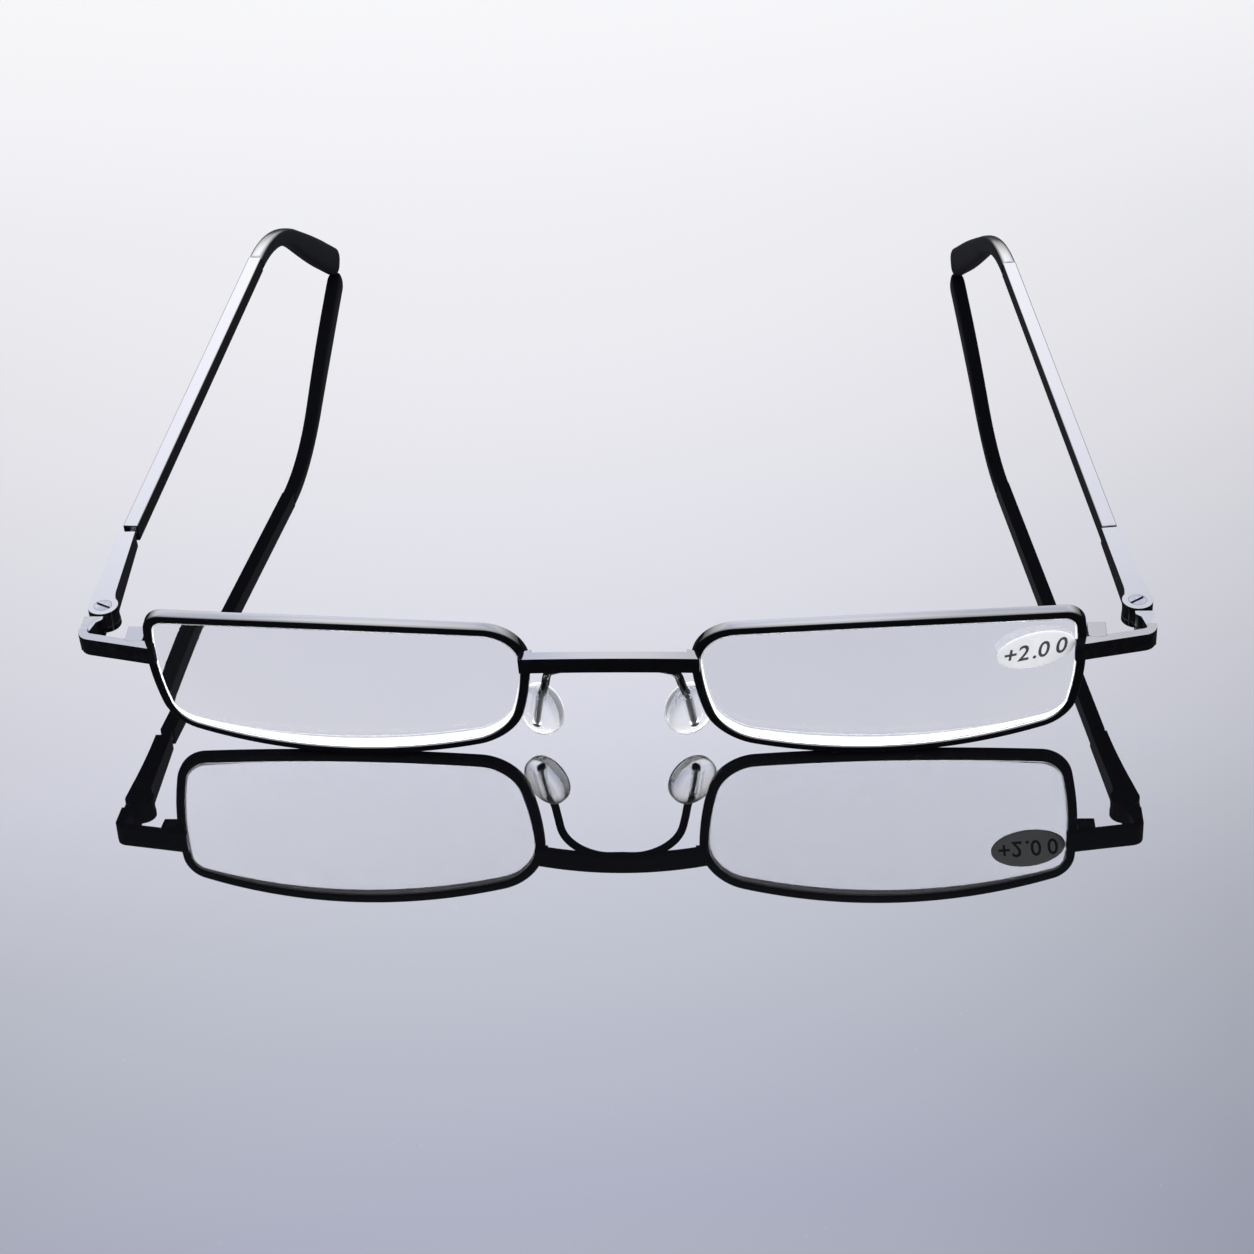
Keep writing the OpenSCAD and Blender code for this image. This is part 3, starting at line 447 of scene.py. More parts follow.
LENS = layered("clear_lens", grain=900.0, tones=((0.978, 0.982, 0.988), (0.990, 0.994, 0.998)), rough=(0.0, 0.035),
               bump=(1e-6, 0.1), smudge=(90.0, 0.1, 0.7), IOR=1.5, Transmission_Weight=1.0)
let_shadow_through(LENS, surface_of(LENS), (0.93, 0.94, 0.95))

# %% [markdown]
# The edge of a lens is ground, which leaves it frosted, and the clear lens carries so much light to it that it seems
# to glow. Tracing that light through the lens is slow and grainy, so a matt white with a little light of its own
# stands for it.

# %% Ground edge of the lens, with a painted glow
# Its emission is a painted glow, standing for light that the lens carries to its ground edge.
GLOWING_LENS_EDGE = layered("ground_lens_edge_glow", grain=2600.0, tones=((0.86, 0.87, 0.90), (0.95, 0.95, 0.97)),
                    rough=(0.45, 0.65), bump=(1e-5, 0.6), IOR=1.5, Emission_Color=(0.95, 0.96, 1.0, 1.0),
                    Emission_Strength=0.6)

# %% [markdown]
# The pads are clear silicone: like glass, but it bends light less, and it gathers dust. It is a little cloudy too,
# which shows where the eye looks along the surface, so the rounded rim is a pale ring. The core moulded into each
# pad is a harder clear plastic without the cloud, so the same recipe is made twice.

# %% Clear silicone
CLOUD_FROM, CLOUD_TO, LEAST_CLOUD = 0.35, 0.85, 0.02

def clear_moulding(name, ior, rough, bump, cloud):
    material = layered(name, grain=1400.0, tones=((0.975, 0.978, 0.985), (0.995, 0.997, 1.0)), rough=rough,
                       bump=(bump, 0.4), dust=(900.0, 0.4, (0.80, 0.80, 0.80)), IOR=ior, Transmission_Weight=1.0)
    tree = material.node_tree
    slant = tree.nodes.new("ShaderNodeLayerWeight").outputs["Facing"]
    haze = plain_shader(tree, "BsdfDiffuse", (0.90, 0.91, 0.94))
    share = spread(tree, slant, CLOUD_FROM, CLOUD_TO, LEAST_CLOUD, cloud)
    let_shadow_through(material, mixed(tree, share, surface_of(material), haze), (0.90, 0.91, 0.93))
    return material

SILICONE = clear_moulding("clear_silicone", 1.16, (0.03, 0.08), 2e-6, 0.8)
INSERT = clear_moulding("clear_insert", 1.22, (0.0, 0.03), 1e-6, 0.02)

# %% [markdown]
# The power sticker is white film with dark grey print. Its face is slightly glossy, with a fine tooth. Print and film
# differ only in tone and a touch of roughness.

# %% Sticker film and print
FILM = layered("sticker_film", grain=3200.0, tones=((0.84, 0.84, 0.86), (0.91, 0.91, 0.93)), rough=(0.38, 0.50),
               bump=(6e-6, 0.4), IOR=1.46)
PRINT = layered("sticker_print", grain=3200.0, tones=((0.040, 0.038, 0.046), (0.066, 0.063, 0.074)),
                rough=(0.42, 0.54), bump=(6e-6, 0.4), IOR=1.46)

# %% [markdown]
# ## Trees that sweep a section along a path
# A rim, a pad wire and a spring all follow a path, which is work for Geometry Nodes. The path is a chain of edges,
# the tree turns it into a curve, and sweeps a section along it. The result becomes a plain mesh.

# %% Helpers for a geometry tree
def geometry_tree(name, inputs):
    tree = bpy.data.node_groups.new(name, "GeometryNodeTree")
    tree.interface.new_socket("Geometry", in_out="INPUT", socket_type="NodeSocketGeometry")
    for label, value in inputs:
        kind = "NodeSocketInt" if isinstance(value, int) else "NodeSocketFloat"
        tree.interface.new_socket(label, in_out="INPUT", socket_type=kind).default_value = value
    tree.interface.new_socket("Finish", in_out="INPUT", socket_type="NodeSocketMaterial")
    tree.interface.new_socket("Geometry", in_out="OUTPUT", socket_type="NodeSocketGeometry")
    return tree, tree.nodes.new("NodeGroupInput").outputs

def end_tree(tree, ins, geometry):
    real = wired(tree, "GeometryNodeRealizeInstances", Geometry=geometry)
    dressed_up = wired(tree, "GeometryNodeSetMaterial", Geometry=real.outputs[0], Material=ins["Finish"])
    wired(tree, "NodeGroupOutput", Geometry=dressed_up.outputs[0])
    print("tree", tree.name, "has", len(tree.nodes), "nodes")

# %% Sweeping a section
def swept(tree, path, section):
    return wired(tree, "GeometryNodeCurveToMesh", Curve=path, Profile_Curve=section, Fill_Caps=True).outputs[0]

def round_section(tree, ins, sides):
    radius = product(tree, ins["Wire diameter"], 0.5)
    return wired(tree, "GeometryNodeCurvePrimitiveCircle", Resolution=sides, Radius=radius).outputs[0]

# %% From a path to a plain mesh
def path_mesh(name, points):
    mesh = bpy.data.meshes.new(name)
    mesh.from_pydata(points, [(k, k + 1) for k in range(len(points) - 1)], [])
    return mesh

def grown(name, start, tree, finish, **values):
    obj = add_object(name + "_path", start)
    modifier = obj.modifiers.new("tree", "NODES")
    modifier.node_group = tree
    wanted = {label.replace("_", " "): value for label, value in values.items()}
    wanted["Finish"] = finish
    for item in tree.interface.items_tree:
        if item.item_type == "SOCKET" and item.in_out == "INPUT" and item.name in wanted:
            modifier[item.identifier] = wanted[item.name]
    bpy.context.view_layer.update()
    mesh = bpy.data.meshes.new_from_object(obj.evaluated_get(bpy.context.evaluated_depsgraph_get()))
    bpy.data.objects.remove(obj)
    mesh.name = name
    return mesh

# %% [markdown]
# ## Rims
# The rim's path lies flat, and its section is a rectangle with rounded corners. Once swept, every point is dropped
# onto the ball surface that both rims follow, by its own depth behind the front. The path stays open at the cut
# behind the hinge, where the two closing blocks draw it together.

# %% Dropping points onto the ball
def dropped_on_ball(tree, ins, geometry):
    position = tree.nodes.new("GeometryNodeInputPosition").outputs[0]
    x, y, z = wired(tree, "ShaderNodeSeparateXYZ", Vector=position).outputs
    depth = maths(tree, "SUBTRACT", product(tree, ins["Rim depth"], 0.5), z)
    under_root = maths(tree, "POWER", maths(tree, "SUBTRACT", ins["Ball radius"], depth), 2.0)
    for value, middle in ((x, "Ball x"), (y, "Ball y")):
        off = maths(tree, "POWER", maths(tree, "SUBTRACT", value, ins[middle]), 2.0)
        under_root = maths(tree, "SUBTRACT", under_root, off)
    drop = maths(tree, "SUBTRACT", maths(tree, "SQRT", under_root), ins["Ball radius"])
    place = wired(tree, "ShaderNodeCombineXYZ", X=x, Y=y, Z=drop).outputs[0]
    return wired(tree, "GeometryNodeSetPosition", Geometry=geometry, Position=place).outputs[0]

# %% Rim tree
def build_rim_tree():
    tree, ins = geometry_tree("rim_on_a_ball", [("Rim width", 0.001), ("Rim depth", 0.001), ("Edge radius", 0.0001),
                                                ("Ball radius", 0.1), ("Ball x", 0.0), ("Ball y", 0.0)])
    curve = wired(tree, "GeometryNodeMeshToCurve", Mesh=ins["Geometry"])
    path = wired(tree, "GeometryNodeSetCurveNormal", Curve=curve.outputs[0])
    path.mode = "Z_UP"
    box = wired(tree, "GeometryNodeCurvePrimitiveQuadrilateral", Width=ins["Rim width"], Height=ins["Rim depth"])
    section = wired(tree, "GeometryNodeFilletCurve", Curve=box.outputs[0], Radius=ins["Edge radius"])
    section.mode = "POLY"
    section.inputs["Count"].default_value = 6
    rim = swept(tree, path.outputs[0], section.outputs[0])
    end_tree(tree, ins, dropped_on_ball(tree, ins, rim))
    return tree

RIM_TREE = build_rim_tree()

# %% Rims
RIM_W, RIM_D, EDGE_R, RIM_CUT = 1.2, 1.4, 0.26, 0.12

def rim_path():
    points = [p - RIM_W / 2 * n for p, n in outline(RIM_CUT)]
    return path_mesh("rim_path", [(p.x * MM, p.y * MM, 0.0) for p in points])

for name, side in SIDES.items():
    mesh = grown("rim_wire_" + name, rim_path(), RIM_TREE, BLACK, Rim_width=RIM_W * MM, Rim_depth=RIM_D * MM,
                 Edge_radius=EDGE_R * MM, Ball_radius=DOME_R * MM, Ball_x=DOME_X * MM, Ball_y=DOME_Z * MM)
    for v in mesh.vertices:
        v.co = in_front(side, v.co.x / MM, -v.co.z / MM, v.co.y / MM)
    rim = add_object("rim_wire_" + name, settle(mesh, degrees=40))
    finish_piece(rim, "front", "black_metal", BLACK, "rim_" + name)

# %% [markdown]
# ## Lenses
# A lens is a solid between two balls: a strongly curved front and a flatter back, so it is thickest in its middle.
# Its rings are the rim's line drawn in towards the middle. The ring faces of the wall between the two surfaces get
# a second, frosted finish, because the edge of a lens is ground, not polished; that finish also has a painted glow.
# A small ridge stands in the rim. The back edge is ground off at a slant, widest along the bottom, where its painted
# glow shows as a white band.

# %% Surfaces and rings of a lens
LENS_T, LENS_BACK_R, LENS_SET, LEAST_GRIND = 2.3, 167.0, 0.15, 0.35

def lens_front(x, z):
    return dome_y(x, z, LENS_SET)

def lens_back(x, z):
    return LENS_SET + LENS_T + LENS_BACK_R - math.sqrt(LENS_BACK_R ** 2 - (x - DOME_X) ** 2 - (z - DOME_Z) ** 2)

def lens_ring(side, inset, share, surface, ground=0.0):
    ring = []
    for p, outwards in closed_outline():
        p = p - (inset + ground * max(LEAST_GRIND, -outwards.y)) * outwards
        x, z = DOME_X + share * (p.x - DOME_X), DOME_Z + share * (p.y - DOME_Z)
        ring.append(in_front(side, x, surface(x, z), z))
    return ring

# %% Lenses
LENS_GAP, FRONT_CHAMFER, BACK_CHAMFER = 0.05, 0.04, 0.6
GROOVE_MID, BEVEL_H, BEVEL_W = 0.7, 0.35, 0.45
WALL_BEHIND, MIDDLE_SHARE = 0.3, 0.004

def lens_mesh(name, side, steps=22):
    seat, ridge = RIM_W + LENS_GAP, (GROOVE_MID - BEVEL_W / 2, GROOVE_MID + BEVEL_W / 2)
    shares = [MIDDLE_SHARE] + [k / steps for k in range(1, steps + 1)]
    rings = [lens_ring(side, seat + FRONT_CHAMFER, s, lens_front) for s in shares]
    wall_from = len(rings)
    for inset, depth in ((seat, LENS_SET + FRONT_CHAMFER), (seat, ridge[0]), (RIM_W - BEVEL_H, ridge[0]),
                         (RIM_W - BEVEL_H, ridge[1]), (seat, ridge[1])):
        rings.append(lens_ring(side, inset, 1.0, lambda x, z, d=depth: dome_y(x, z, d)))
    rings.append(lens_ring(side, seat, 1.0, lambda x, z: lens_back(x, z) - WALL_BEHIND))
    wall_to = len(rings)
    rings += [lens_ring(side, seat, s, lens_back, BACK_CHAMFER) for s in reversed(shares)]
    count = len(rings[0])
    return skin(name, rings, degrees=25), range(wall_from * count, wall_to * count)

for name, side in SIDES.items():
    mesh, wall = lens_mesh("lens_body_" + name, side)
    lens = add_object("lens_body_" + name, mesh)
    finish_piece(lens, "front", "lens_clear", LENS, "lens_" + name)
    # The wall faces get the frosted edge finish with its painted glow.
    mesh.materials.append(GLOWING_LENS_EDGE)
    for index in wall:
        mesh.polygons[index].material_index = 1

# %% [markdown]
# ## Power sticker
# Reading glasses are sold with a small oval sticker that gives the lens power. It is a thin film that lies on the
# ball surface of the lens. The number is text turned into a mesh, slanted, and laid on the same surface.

# %% Power sticker
LABEL_W, LABEL_H, LABEL_T, LABEL_TURN = 9.8, 5.6, 0.08, math.radians(3)
LABEL_IN, LABEL_DOWN, SEAT = 5.9, 4.9, 0.02
LABEL_AT = (CORNERS[1].x - LABEL_IN, CORNERS[1].y - LABEL_DOWN)
FILM_MIDDLE, FILM_FLAT, FILM_ROUNDING = 0.01, 0.985, 0.015

def on_sticker(u, v, depth):
    x = LABEL_AT[0] + u * math.cos(LABEL_TURN) - v * math.sin(LABEL_TURN)
    z = LABEL_AT[1] + u * math.sin(LABEL_TURN) + v * math.cos(LABEL_TURN)
    return in_front(1, x, dome_y(x, z, depth), z)

def oval(share, depth):
    return [on_sticker(share * LABEL_W / 2 * math.cos(a), share * LABEL_H / 2 * math.sin(a), depth)
            for a in round_angles(96)]

film_top, film_foot = LENS_SET - LABEL_T - SEAT, LENS_SET - SEAT
rings = [oval(s, film_top) for s in [FILM_MIDDLE] + [k / 10 for k in range(1, 10)] + [FILM_FLAT]]
rings += [oval(1.0, film_top + FILM_ROUNDING), oval(1.0, film_foot), oval(FILM_MIDDLE, film_foot)]
film = add_object("sticker_film", skin("sticker_film", rings, degrees=50))
finish_piece(film, "front", "label_film", FILM, "power_label")

# %% Signs of the number
# Each sign has its own place along the sticker, since the print is uneven.
PRINTED = (("+", -3.17), ("2", -1.50), (".", -0.06), ("0", 1.01), ("0", 3.23))
DIGIT_H, SQUEEZE, SLANT = 2.45, 0.88, 0.16
PRINT_T, PRINT_LIFT, STROKE_GAIN = 0.004, 0.012, 0.013

def printed_sign(sign):
    curve = bpy.data.curves.new("sign", "FONT")
    curve.body, curve.size, curve.extrude, curve.offset = sign, 1.0, PRINT_T, STROKE_GAIN
    source = add_object("sign_source", curve)
    bpy.context.view_layer.update()
    mesh = bpy.data.meshes.new_from_object(source.evaluated_get(bpy.context.evaluated_depsgraph_get()))
    bpy.data.objects.remove(source)
    return [v.co.copy() for v in mesh.vertices], [tuple(p.vertices) for p in mesh.polygons]

def middle_of(values):
    return (min(values) + max(values)) / 2

# %% Number on the sticker
def number_mesh():
    zero_ys = [co.y for co in printed_sign("0")[0]]
    scale, points, faces = DIGIT_H / (max(zero_ys) - min(zero_ys)), [], []
    for sign, place in PRINTED:
        cos, polygons = printed_sign(sign)
        mid_x, start = middle_of([co.x for co in cos]), len(points)
        for co in cos:
            v = (co.y - middle_of(zero_ys)) * scale
            u = place + (co.x - mid_x) * scale * SQUEEZE + SLANT * v
            points.append(on_sticker(u, v, film_top - PRINT_LIFT - co.z))
        faces += [tuple(start + k for k in polygon) for polygon in polygons]
    mesh = bpy.data.meshes.new("power_number")
    mesh.from_pydata(points, [], faces)
    return settle(mesh, merge=1e-8)

number = add_object("power_number", number_mesh())
finish_piece(number, "front", "label_film", PRINT)

# %% [markdown]
# ## Pieces carried over from the CAD model
# Bridge, endpieces, closing blocks, temple arms, tubes and the small steel parts already have their right shape.
# Their mesh is loose triangles, so a copy is merged, flat faces are joined again, and a fine bevel rounds the edges,
# because no real edge is perfectly sharp and the light catches on it.

# %% Dressing a CAD piece
SAME_POINT, SAME_PLANE = 1e-6, math.radians(0.4)

def merged_copy(node):
    source = frame["nodes"][node].data
    mesh = bpy.data.meshes.new(node + "_dressed")
    mesh.from_pydata([v.co.copy() for v in source.vertices], [], [tuple(p.vertices) for p in source.polygons])
    bm = bmesh.new()
    bm.from_mesh(mesh)
    bmesh.ops.remove_doubles(bm, verts=bm.verts, dist=SAME_POINT)
    bmesh.ops.dissolve_limit(bm, angle_limit=SAME_PLANE, verts=bm.verts, edges=bm.edges)
    bm.to_mesh(mesh)
    bm.free()
    return mesh

def dressed(node, slot_name, material, bevel, segments=3, angle=28):
    mesh = merged_copy(node)
    smooth_by_angle(mesh, angle)
    obj = add_object(node + "_dressed", mesh)
    if bevel:
        edge = obj.modifiers.new("fine_edge", "BEVEL")
        edge.width, edge.segments, edge.limit_method = bevel * MM, segments, "ANGLE"
        edge.angle_limit, edge.use_clamp_overlap, edge.harden_normals = math.radians(angle), True, False
    finish_piece(obj, frame["nodes"][node]["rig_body"], slot_name, material, node)

# %% Bridge, endpieces and closing blocks
dressed("bridge_bar", "black_metal", BLACK, 0.22)
for name in SIDES:
    dressed("endpiece_" + name, "black_metal", BLACK, 0.16)
    for half in ("upper", "lower"):
        dressed("closing_block_" + half + "_" + name, "black_metal", BLACK, 0.10)

# %% Temple arms and tubes
for name in SIDES:
    dressed("temple_arm_" + name, "black_metal", BLACK, 0.12)
    dressed("temple_tube_" + name, "black_metal", BLACK, 0.22, 4)

# %% Small steel parts
dressed("closing_screws", "bare_steel", STEEL, 0.04, 2)
for name in SIDES:
    for node in ("guide_pin_", "pin_nut_", "guide_collar_"):
        dressed(node + name, "bare_steel", STEEL, 0.03, 2)
    dressed("hinge_screw_" + name, "bare_steel", SCREW_STEEL, 0.03, 2)
    dressed("tip_core_" + name, "bare_steel", STEEL, 0.0)
    dressed("pad_core_" + name, "clear_insert", INSERT, 0.05, 2)

# %% [markdown]
# ## Places along a temple
# The arm turns on the hinge screw, the tube turns on the arm's ball, and the tip follows the tube. Each is one more
# matrix on the last, for a temple at +X; the temple at -X is the same thing mirrored.

# %% Temple places
ARM_LEN, BALL_IN, TUBE_LIFT = 16.6, 0.9, 0.2
ARM_TURN, TUBE_TURN = {-1: -1.5, 1: 7.5}, {-1: 4.8, 1: 0.1}
RISE, JOINT_GAP = {-1: 3.5, 1: 2.4}, {-1: 1.4, 1: 0.4}

def turned(degrees, axis):
    return Matrix.Rotation(math.radians(degrees), 4, axis)

def tube_place(side):
    hinge = HINGE[side]
    place = Matrix.Translation((abs(hinge.x), hinge.y, hinge.z)) @ turned(RISE[side], "X")
    place = place @ turned(ARM_TURN[side], "Z") @ Matrix.Translation((0, ARM_LEN - BALL_IN, 0))
    return place @ turned(TUBE_TURN[side], "Z") @ Matrix.Translation((0, 0, TUBE_LIFT))

def in_tube(side, x, y, z):
    p = tube_place(side) @ Vector((x, y, z))
    return Vector((side * p.x, p.y, p.z)) * MM

def mouth(side):
    return BALL_IN + JOINT_GAP[side]

for name, side in SIDES.items():
    print("tube mouth", name, [round(v / MM, 2) for v in in_tube(side, 0, mouth(side), 0)])

# %% [markdown]
# ## Return springs
# A spring inside each tube pulls the temple back in line. A spring is the plainest case of a section that follows a
# path: the tree draws the coil from its number of curls, radius and length, and sweeps a round wire along it.

# %% Spring tree
def build_spring_tree():
    tree, ins = geometry_tree("wound_spring", [("Curls", 10.0), ("Spring radius", 0.0005), ("Spring length", 0.008),
                                               ("Wire diameter", 0.00016)])
    radius = ins["Spring radius"]
    coil = wired(tree, "GeometryNodeCurveSpiral", Resolution=32, Rotations=ins["Curls"], Start_Radius=radius,
                 End_Radius=radius, Height=ins["Spring length"])
    end_tree(tree, ins, swept(tree, coil.outputs[0], round_section(tree, ins, 10)))
    return tree

SPRING_TREE = build_spring_tree()

# %% Return springs
SPRING_R, SPRING_WIRE, SPRING_CURLS, SPRING_IN, SPRING_TO = 0.54, 0.16, 10.0, 2.0, 11.63
for name, side in SIDES.items():
    start = mouth(side) + SPRING_IN
    mesh = grown("wound_spring_" + name, path_mesh("spring_start", [(0, 0, 0), (0, 0, MM)]), SPRING_TREE, STEEL,
                 Curls=SPRING_CURLS, Spring_radius=SPRING_R * MM, Spring_length=(SPRING_TO - start) * MM,
                 Wire_diameter=SPRING_WIRE * MM)
    for v in mesh.vertices:
        v.co = in_tube(side, v.co.x / MM, start + v.co.z / MM, v.co.y / MM)
    spring = add_object("wound_spring_" + name, settle(mesh, degrees=60))
    finish_piece(spring, "tube_" + name, "bare_steel", STEEL, "return_spring_" + name)

# %% [markdown]
# ## Temple tips
# A tip is a flat oval section carried along a line that bends down behind the ear. It is thin at its mouth, widens
# to a paddle, and ends in a half circle. A loft of rings gives full control of both sizes all along the line. The
# rings are drawn a touch small, so that the smooth tip stays inside the CAD tip's box.

# %% Tip line
TUBE_LEN, TIP_BEND_R, TIP_STRAIGHT, TIP_INSET = 72.8, 33.0, 23.2, 1.2
TIP_T, TIP_H, PADDLE_H = 2.3, 2.6, 4.8
END_R = PADDLE_H / 2
SQUARENESS, SKIN_FIT = 0.62, 0.985
WIDEN_FROM, WIDEN_RATE = 0.5, 1.25

def tip_figures(side):
    total = math.radians(ARM_TURN[side] + TUBE_TURN[side])
    rise, turn_in = math.radians(RISE[side]), math.radians(ARM_TURN[side])
    true_rise = math.asin(math.sin(rise) * math.cos(total))
    height = (HINGE[side].z + math.sin(rise) * (ARM_LEN - BALL_IN) * math.cos(turn_in)
              + math.sin(true_rise) * (mouth(side) + TUBE_LEN) + TUBE_LIFT * math.cos(rise))
    reach = math.hypot(TIP_BEND_R, TIP_STRAIGHT)
    drop = math.acos((END_R - height + TIP_BEND_R * math.cos(true_rise)) / reach)
    drop -= math.atan(TIP_STRAIGHT / TIP_BEND_R)
    bend = TIP_BEND_R * (drop + true_rise)
    return bend, bend + TIP_STRAIGHT

def tip_height(side, s):
    bend, length = tip_figures(side)
    q = max(0.0, s - bend * WIDEN_FROM) / (length - bend * WIDEN_FROM)
    return TIP_H + (PADDLE_H - TIP_H) * math.sin(math.pi / 2 * min(1.0, q * WIDEN_RATE)) ** 2

# %% Rings of a tip
def tip_ring(side, s, w, h):
    bend, length = tip_figures(side)
    a = min(s, bend) / TIP_BEND_R
    rest = max(s - bend, 0.0)
    along = TIP_BEND_R * math.sin(a) + rest * math.cos(a)
    up = -TIP_BEND_R * (1 - math.cos(a)) - rest * math.sin(a)
    inwards = -TIP_INSET * (max(s, 0.0) / length) ** 2
    ring = []
    for t in round_angles(40, 0.5):
        x = SKIN_FIT * w / 2 * math.copysign(abs(math.cos(t)) ** SQUARENESS, math.cos(t))
        z = SKIN_FIT * h / 2 * math.copysign(abs(math.sin(t)) ** SQUARENESS, math.sin(t))
        y = mouth(side) + TUBE_LEN + along + z * math.sin(a)
        ring.append(in_tube(side, inwards + x, y, up + z * math.cos(a)))
    return ring

print("tip lengths", {name: round(tip_figures(side)[1], 2) for name, side in SIDES.items()})

# %% Temple tips
MOUTH_RINGS, TIP_STEPS = ((0, 0.94), (0.05, 0.98), (0.12, 1.0)), 80
END_ANGLES, END_THINNING = [math.radians(d) for d in (8, 16, 24, 32, 40, 48, 56, 64, 71, 77, 82, 86)], 0.6

for name, side in SIDES.items():
    full = tip_figures(side)[1]
    rings = [tip_ring(side, s, TIP_T * share, TIP_H * share) for s, share in MOUTH_RINGS]
    for s in (full * k / TIP_STEPS for k in range(1, TIP_STEPS + 1)):
        rings.append(tip_ring(side, s, TIP_T, tip_height(side, s)))
    for a in END_ANGLES:
        s = full + SKIN_FIT * END_R * math.sin(a)
        rings.append(tip_ring(side, s, TIP_T * math.cos(a) ** END_THINNING, PADDLE_H * math.cos(a)))
    tip = add_object("satin_tip_" + name, skin("satin_tip_" + name, rings, degrees=50))
    finish_piece(tip, "tube_" + name, "tip_plastic", TIP, "temple_tip_" + name)

# %% [markdown]
# ## Pad wire
# One springy wire runs in a U behind the bridge and carries both pads. Its route is a short list of points with a
# smooth curve through them, and a tree sweeps a round wire along it.

# %% Pad wire tree
def build_wire_tree():
    tree, ins = geometry_tree("round_wire_on_a_path", [("Wire diameter", 0.001), ("Sides", 24)])
    curve = wired(tree, "GeometryNodeMeshToCurve", Mesh=ins["Geometry"])
    end_tree(tree, ins, swept(tree, curve.outputs[0], round_section(tree, ins, ins["Sides"])))
    return tree

WIRE_TREE = build_wire_tree()

# %% Pad wire route
PAD_X, PAD_Y, PAD_Z = 9.6, LENS_FRONT_Y + PAD_BACK, 5.7
PAD_SPLAY, PAD_TURN, PIVOT_LEN, WIRE_D = math.radians(10), math.radians(38), 4.0, 1.06
BRIDGE_AHEAD, BRIDGE_MID, BRIDGE_T = 0.25, 16.2, 1.3
SEAT_Y, SEAT_Z = leant(0, -BRIDGE_AHEAD, BRIDGE_MID).y + FRONT_Y + BRIDGE_T, 15.25
PIVOT_RISE = PIVOT_LEN / 2 + 0.6
pivot_top = Vector((PAD_X - PIVOT_RISE * math.sin(PAD_SPLAY), PAD_Y, PAD_Z + PIVOT_RISE * math.cos(PAD_SPLAY)))
half_route = [Vector(p) for p in (
    (0, SEAT_Y, SEAT_Z), (2.6, SEAT_Y, SEAT_Z - 0.05), (4.9, SEAT_Y + 0.3, SEAT_Z - 0.65),
    (6.7, SEAT_Y + 0.95, SEAT_Z - 1.55), (7.8, SEAT_Y + 1.9, SEAT_Z - 2.55),
    (8.35, PAD_Y - 0.6, SEAT_Z - 4.0), (8.7, PAD_Y - 0.15, SEAT_Z - 5.6))]
half_route += [pivot_top + Vector((0.03, 0, -0.15))]
route = [Vector((-p.x, p.y, p.z)) for p in reversed(half_route[1:])] + half_route
print("wire route of", len(route), "points")

# %% Pad wire
def through(points, steps=10):
    line, m = [], len(points) - 1
    for k in range(m):
        a, b, c, d = points[max(k - 1, 0)], points[k], points[k + 1], points[min(k + 2, m)]
        for t in (s / steps for s in range(steps)):
            line.append(0.5 * (2 * b + t * (c - a) + t * t * (2 * a - 5 * b + 4 * c - d)
                               + t ** 3 * (3 * b - a - 3 * c + d)))
    return line + [points[m]]

path = path_mesh("wire_route", [p * MM for p in through(route)])
swept_wire = grown("nose_wire", path, WIRE_TREE, BLACK, Wire_diameter=WIRE_D * MM, Sides=24)
wire = add_object("nose_wire", settle(swept_wire))
finish_piece(wire, "front", "black_metal", BLACK, "pad_wire")

# %% [markdown]
# ## Pads and their pivots
# Each pad is a soft round cushion that turns on the wire's thin end. It is turned like a coin with rounded edges,
# then a ridge is raised on its back where it wraps the clear core.

# %% Pivots of the wire
PAD_PLACE = (Matrix.Translation((PAD_X, PAD_Y, PAD_Z)) @ Matrix.Rotation(-PAD_SPLAY, 4, "Y")
             @ Matrix.Rotation(PAD_TURN, 4, "Z"))

def in_pad(side, x, y, z):
    p = PAD_PLACE @ Vector((x, y, z))
    return Vector((side * p.x, p.y, p.z)) * MM

def round_ring(side, r, z):
    return [in_pad(side, r * math.cos(a), r * math.sin(a), z) for a in round_angles(32)]

# The thin end's profile, as (radius, height)
PIVOT = ((0.50, -2.37), (0.55, -2.32), (0.55, -2.07), (0.50, -2.02), (0.30, -2.02), (0.30, 2.88))
for name, side in SIDES.items():
    rings = [round_ring(side, r, z) for r, z in PIVOT]
    pivot = add_object("wire_pivot_" + name, skin("wire_pivot_" + name, rings))
    finish_piece(pivot, "front", "black_metal", BLACK)

# %% Profile of a pad
PAD_R, PAD_HALF, PAD_OFF, EDGE_ROUND, CROWN, HOLE = 3.45, 1.45, 0.4, 1.0, 0.35, 0.02
FACE_STEPS, EDGE_STEPS, BACK_STEPS = 14, 8, 24

def pad_profile():
    flat, top, foot = PAD_R - EDGE_ROUND, PAD_HALF - CROWN - EDGE_ROUND, -PAD_HALF + EDGE_ROUND
    line = []
    for k in range(FACE_STEPS + 1):
        r = HOLE + (flat - HOLE) * k / FACE_STEPS
        line.append((r, PAD_HALF - CROWN * (r / flat) ** 2))
    turns = [math.pi / 2 * k / EDGE_STEPS for k in range(EDGE_STEPS + 1)]
    line += [(flat + EDGE_ROUND * math.sin(a), top + EDGE_ROUND * math.cos(a)) for a in turns[1:]]
    line += [(flat + EDGE_ROUND * math.sin(a), foot - EDGE_ROUND * math.cos(a)) for a in reversed(turns)]
    return line + [(flat * k / BACK_STEPS + HOLE, -PAD_HALF) for k in range(BACK_STEPS - 1, -1, -1)]

print("pad profile of", len(pad_profile()), "points")

# %% Ridge on the back of a pad
RIDGE_R, RIDGE_FRONT, RIDGE_END, RIDGE_FADE, RIDGE_BLEND = 1.1, 0.3, 2.8, 0.8, 0.12

